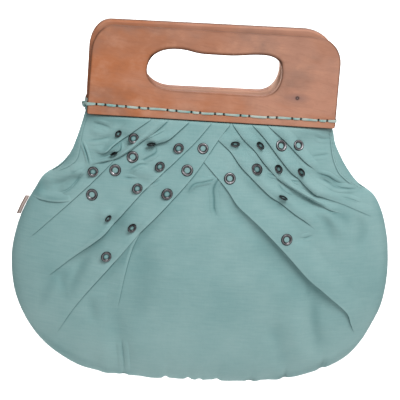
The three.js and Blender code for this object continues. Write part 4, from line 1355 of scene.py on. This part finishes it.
def cloth_tree(piece):
    """A search tree over the quads of a piece."""
    mesh = piece.data
    points = np.empty(len(mesh.vertices) * 3, np.float32)
    corners = np.empty(len(mesh.loops), np.int32)
    mesh.vertices.foreach_get("co", points)
    mesh.loops.foreach_get("vertex_index", corners)
    return BVHTree.FromPolygons(points.reshape(-1, 3).tolist(), corners.reshape(-1, 4).tolist())


def cloth_depth(trees, x, z):
    """Depth at which a ray along +Y first meets the cloth."""
    start = Vector((x * MM, RAY_START, z * MM))
    hits = [tree.ray_cast(start, Vector((0, 1, 0)))[0] for tree in trees]
    return min(hit.y for hit in hits if hit is not None) / MM


def cloth_under(trees, x, z, radius):
    """Place and slope of the outermost cloth under a ring: a plane fitted to a circle of rays."""
    turn = full_turn(RAY_COUNT)
    circle = radius * np.stack([np.cos(turn), np.sin(turn)], axis=1)
    spots = np.vstack([[(0.0, 0.0)], circle])
    depths = np.array([cloth_depth(trees, x + across, z + up) for across, up in spots])
    fit = np.linalg.lstsq(np.c_[spots, np.ones(len(spots))], depths, rcond=None)[0]
    return np.array([x, fit[2], z]), unit(np.array([fit[0], -1.0, fit[1]]))


front_trees = [cloth_tree(piece) for piece in (panel_front, front_folds)]
print("cloth in front of the middle:", round(cloth_depth(front_trees, 0.0, WIDEST), 1))

# %% [markdown]
# ## Eyelets
#
# Each eyelet is a pressed metal ring with a rolled rim, a rounded face and a short throat. Its section is
# one closed curve turned about its axis, which a torus could not give. Some rings are tipped with the
# crumpled cloth, so they show narrower; painted shade makes them darker, and a small disc of cloth
# closes their hole.

# %% Shape of a ring
RING_SECTION = [
    # share of the way from rim to hole, height, shade (dirt and painted shade in the edges)
    (0, 0.10, 1), (0, 0.40, 1), (0.08, 0.78, 1), (0.19, 1.02, 0.7), (0.32, 1.10, 0), (0.46, 1.06, 0),
    (0.57, 0.94, 0.9), (0.66, 0.80, 0.8), (0.78, 0.64, 0.35), (0.9, 0.36, 0.9), (1, 0.0, 1), (1, -0.9, 1),
    (0.82, -0.9, 1), (0.8, -0.1, 1), (0.2, -0.15, 1)]
RING_SIDES, DISC_SIDES = 40, 24


def spokes(normal, count):
    """Unit directions all round an axis."""
    turn = full_turn(count)[:, None]
    beside = unit(np.cross(normal, [0.0, 0.0, 1.0]))
    return np.cos(turn) * beside + np.sin(turn) * np.cross(beside, normal)


def eyelet_surface(centre, normal, radius, hole, tip_painted_shade):
    """A closed curve turned about the ring's axis; edges are dark, and a tipped ring gets painted shade,
    most on top.
    """
    share, height, edge = np.array(RING_SECTION).T
    spoke = spokes(normal, RING_SIDES)
    reach = radius - share * (radius - hole)
    points = centre + spoke[:, None, :] * reach[None, :, None] + normal * height[None, :, None]
    # Painted shade and reflection of a tipped ring, strongest on its upper side.
    shade = np.maximum(edge[None, :], tip_painted_shade * (0.70 + 0.30 * spoke[:, 2:]))
    return surface(points, shade=shade, wrap_rows=True, wrap_columns=True)


def hole_cloth(centre, normal, hole):
    """A disc of cloth that shows in the hole of a ring, with painted shade towards its edge."""
    size = np.array([0.0, 0.6, 1.0])[None, :, None] * (hole + 0.1)
    points = centre + spokes(normal, DISC_SIDES)[:, None, :] * size + 0.1 * normal
    # Painted shade of the ring's throat, darker towards the disc's edge.
    shade = np.broadcast_to([0.0, 0.25, 0.9], points.shape[:2])
    return surface(points, points[..., [0, 2]], shade, wrap_rows=True, flip=True)


print("a ring has", RING_SIDES * len(RING_SECTION), "points")

# %% Eyelets
EYELET_COUNT = 27
# A ring whose solid spans less than the first number has the second as its radius.
RING_SIZES = ((9.0, 4.3), (10.15, 5.0), (math.inf, 5.4))
HOLE_SHARE, RING_RAISE, RING_LIFT, SLOPE_SHARE = 0.46, 0.5, 0.66, 0.8
TIPPED_SHRINK, TIPPED_HOLE, TIPPED_PAINTED_SHADE, CLOSED_TIP = 0.16, 0.06, 0.95, 70
# Direction from the bag to the viewer.
FACING = np.array([-0.05, -0.95, 0.29])


def tipped_normal(tip, to_x, to_z):
    """The viewer's direction turned by tip towards a direction along the cloth."""
    angle = math.radians(tip)
    return unit(FACING * math.cos(angle) + np.array([to_x, 0.0, to_z]) * math.sin(angle))


hole_discs = []
for number in range(1, EYELET_COUNT + 1):
    node_name = f"eyelet_{number:02d}"
    low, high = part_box(node_name)
    middle_x, middle_z = (low.x + high.x) / 2 / MM, (low.z + high.z) / 2 / MM
    span = max(high.x - low.x, high.z - low.z) / MM
    radius = next(size for limit, size in RING_SIZES if span < limit)
    centre, normal = cloth_under(front_trees, middle_x, middle_z + RING_RAISE, SLOPE_SHARE * radius)
    hole_share, tip_painted_shade = HOLE_SHARE, 0.0
    if number in TIPPED_EYELETS:
        tip, towards = TIPPED_EYELETS[number][2:]
        radius *= 1 - TIPPED_SHRINK * ease(25, 48, tip)
        hole_share -= TIPPED_HOLE * ease(18, 40, tip)
        tip_painted_shade = TIPPED_PAINTED_SHADE * ease(8, 44, tip)
        wanted = tipped_normal(tip, *towards)
        apart = math.acos(float(np.clip(wanted @ normal, -1, 1)))
        centre = centre - np.array([0.0, RING_LIFT * radius * math.sin(apart), 0.0])
        normal = wanted
        if tip < CLOSED_TIP:
            hole_discs.append(hole_cloth(centre, normal, hole_share * radius))
    turned = eyelet_surface(centre, normal, radius, hole_share * radius, tip_painted_shade)
    ring = add_piece("ring_" + node_name, [turned], gunmetal)
    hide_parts(node_name)
cloth_in_rings = add_piece("cloth_in_rings", hole_discs, bag_cotton)

# %% [markdown]
# ## Seam tab
#
# A short piece of beige tape is folded in two and sewn into the left side seam. It is left blank. Its
# folded section, a narrow loop, is carried along the seam, and the tape is darker along its folded left
# edge and a little along its right one. A plain box would do from afar, but the loop gives the soft
# edges that catch the light.

# %% Tab
TAB_LENGTH, TAB_WIDTH, TAB_THICKNESS, TAB_MIDDLE, TAB_GAP = 17.8, 4.0, 1.6, -154.0, 0.4
TAPE_COLOUR = (0.400, 0.320, 0.290)
TAPE_PALE = (0.520, 0.440, 0.410)
TAPE_EDGE_DARK = (0.130, 0.075, 0.055)


def tape_finish():
    """Beige woven tape with fine ribs, darker along its edges by the shade value."""
    material, tree, shader = new_finish("beige_tape")
    ribs = noise(tree, object_place(tree), (400.0, 400.0, 1800.0), 2.0)
    body = blend_colours(tree, ribs, TAPE_COLOUR, TAPE_PALE)
    fill(tree, shader, {
        "Base Color": blend_colours(tree, stored_shade(tree), body, TAPE_EDGE_DARK),
        "Normal": bumped(tree, ribs, 0.3, 0.0002),
        "Roughness": 0.8})
    return material


def tab_surface():
    """A folded loop of tape: a flat oval section carried along the seam, closed at both ends."""
    t = full_turn(32)
    along = np.array([-0.5, -0.5, -0.49, 0.0, 0.49, 0.5, 0.5]) * TAB_LENGTH
    size = np.array([0.0, 0.9, 1.0, 1.0, 1.0, 0.9, 0.0])
    z = TAB_MIDDLE + along
    edge = outline(z)[0] - TAB_GAP - TAB_WIDTH / 2
    across, deep = (np.sign(v) * np.abs(v) ** 0.55 for v in (np.cos(t), np.sin(t)))
    x = edge[:, None] - size[:, None] * (TAB_WIDTH / 2) * across[None, :]
    y = size[:, None] * (TAB_THICKNESS / 2) * deep[None, :]
    points = np.stack([x, y, z[:, None] + np.zeros_like(x)], axis=-1)
    edge_dark = 0.95 * ease(0.25, 0.55, across) + 0.55 * ease(-0.1, -0.5, across)
    shade = np.broadcast_to(edge_dark[None, :], x.shape)
    return surface(points, shade=shade, wrap_columns=True, flip=True)


tab = add_piece("seam_tab_tape", [tab_surface()], tape_finish())
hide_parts("seam_tab")

# %% [markdown]
# ## Floor and light
#
# The bag hangs in soft, even studio light before white. A pale floor lies well below it, so that no
# shadow of the bag falls close by. A broad lamp from the upper right gives the folds their direction,
# and the white surroundings fill the rest. One small lamp would make hard shadows that the cloth of such
# a picture never shows.

# %% Stage
FLOOR_HALF, FLOOR_LEVEL, FILL_STRENGTH = 14.0, -1.1, 0.45
floor_mesh = bpy.data.meshes.new("studio_floor")
floor_signs = ((-1, -1), (1, -1), (1, 1), (-1, 1))
floor_corners = [(x * FLOOR_HALF, y * FLOOR_HALF, FLOOR_LEVEL) for x, y in floor_signs]
floor_mesh.from_pydata(floor_corners, [], [(0, 1, 2, 3)])
floor = bpy.data.objects.new("studio_floor", floor_mesh)
bpy.context.scene.collection.objects.link(floor)
paper, paper_tree, paper_shader = new_finish("white_paper")
fill(paper_tree, paper_shader, {"Base Color": (0.93, 0.93, 0.93, 1.0), "Roughness": 0.9})
floor_mesh.materials.append(paper)

world = bpy.data.worlds.new("studio")
world.use_nodes = True
sky = world.node_tree.nodes["Background"]
fill(world.node_tree, sky, {"Color": (1.0, 1.0, 1.0, 1.0), "Strength": FILL_STRENGTH})
bpy.context.scene.world = world
bpy.context.scene.view_settings.view_transform = "Standard"


def lamp(name, place, target, size, power):
    """A square area lamp that faces target."""
    data = bpy.data.lights.new(name, "AREA")
    data.size, data.energy = size, power
    made = bpy.data.objects.new(name, data)
    bpy.context.scene.collection.objects.link(made)
    made.location = place
    made.rotation_euler = (Vector(target) - Vector(place)).to_track_quat("-Z", "Y").to_euler()
    return made


lamp("key", (0.36, -1.05, 1.32), (0, 0, -0.15), 0.8, 32.0)
lamp("background", (0.0, 6.0, 2.5), (0.0, 6.0, 0.0), 9.0, 700.0)
print("stage ready")
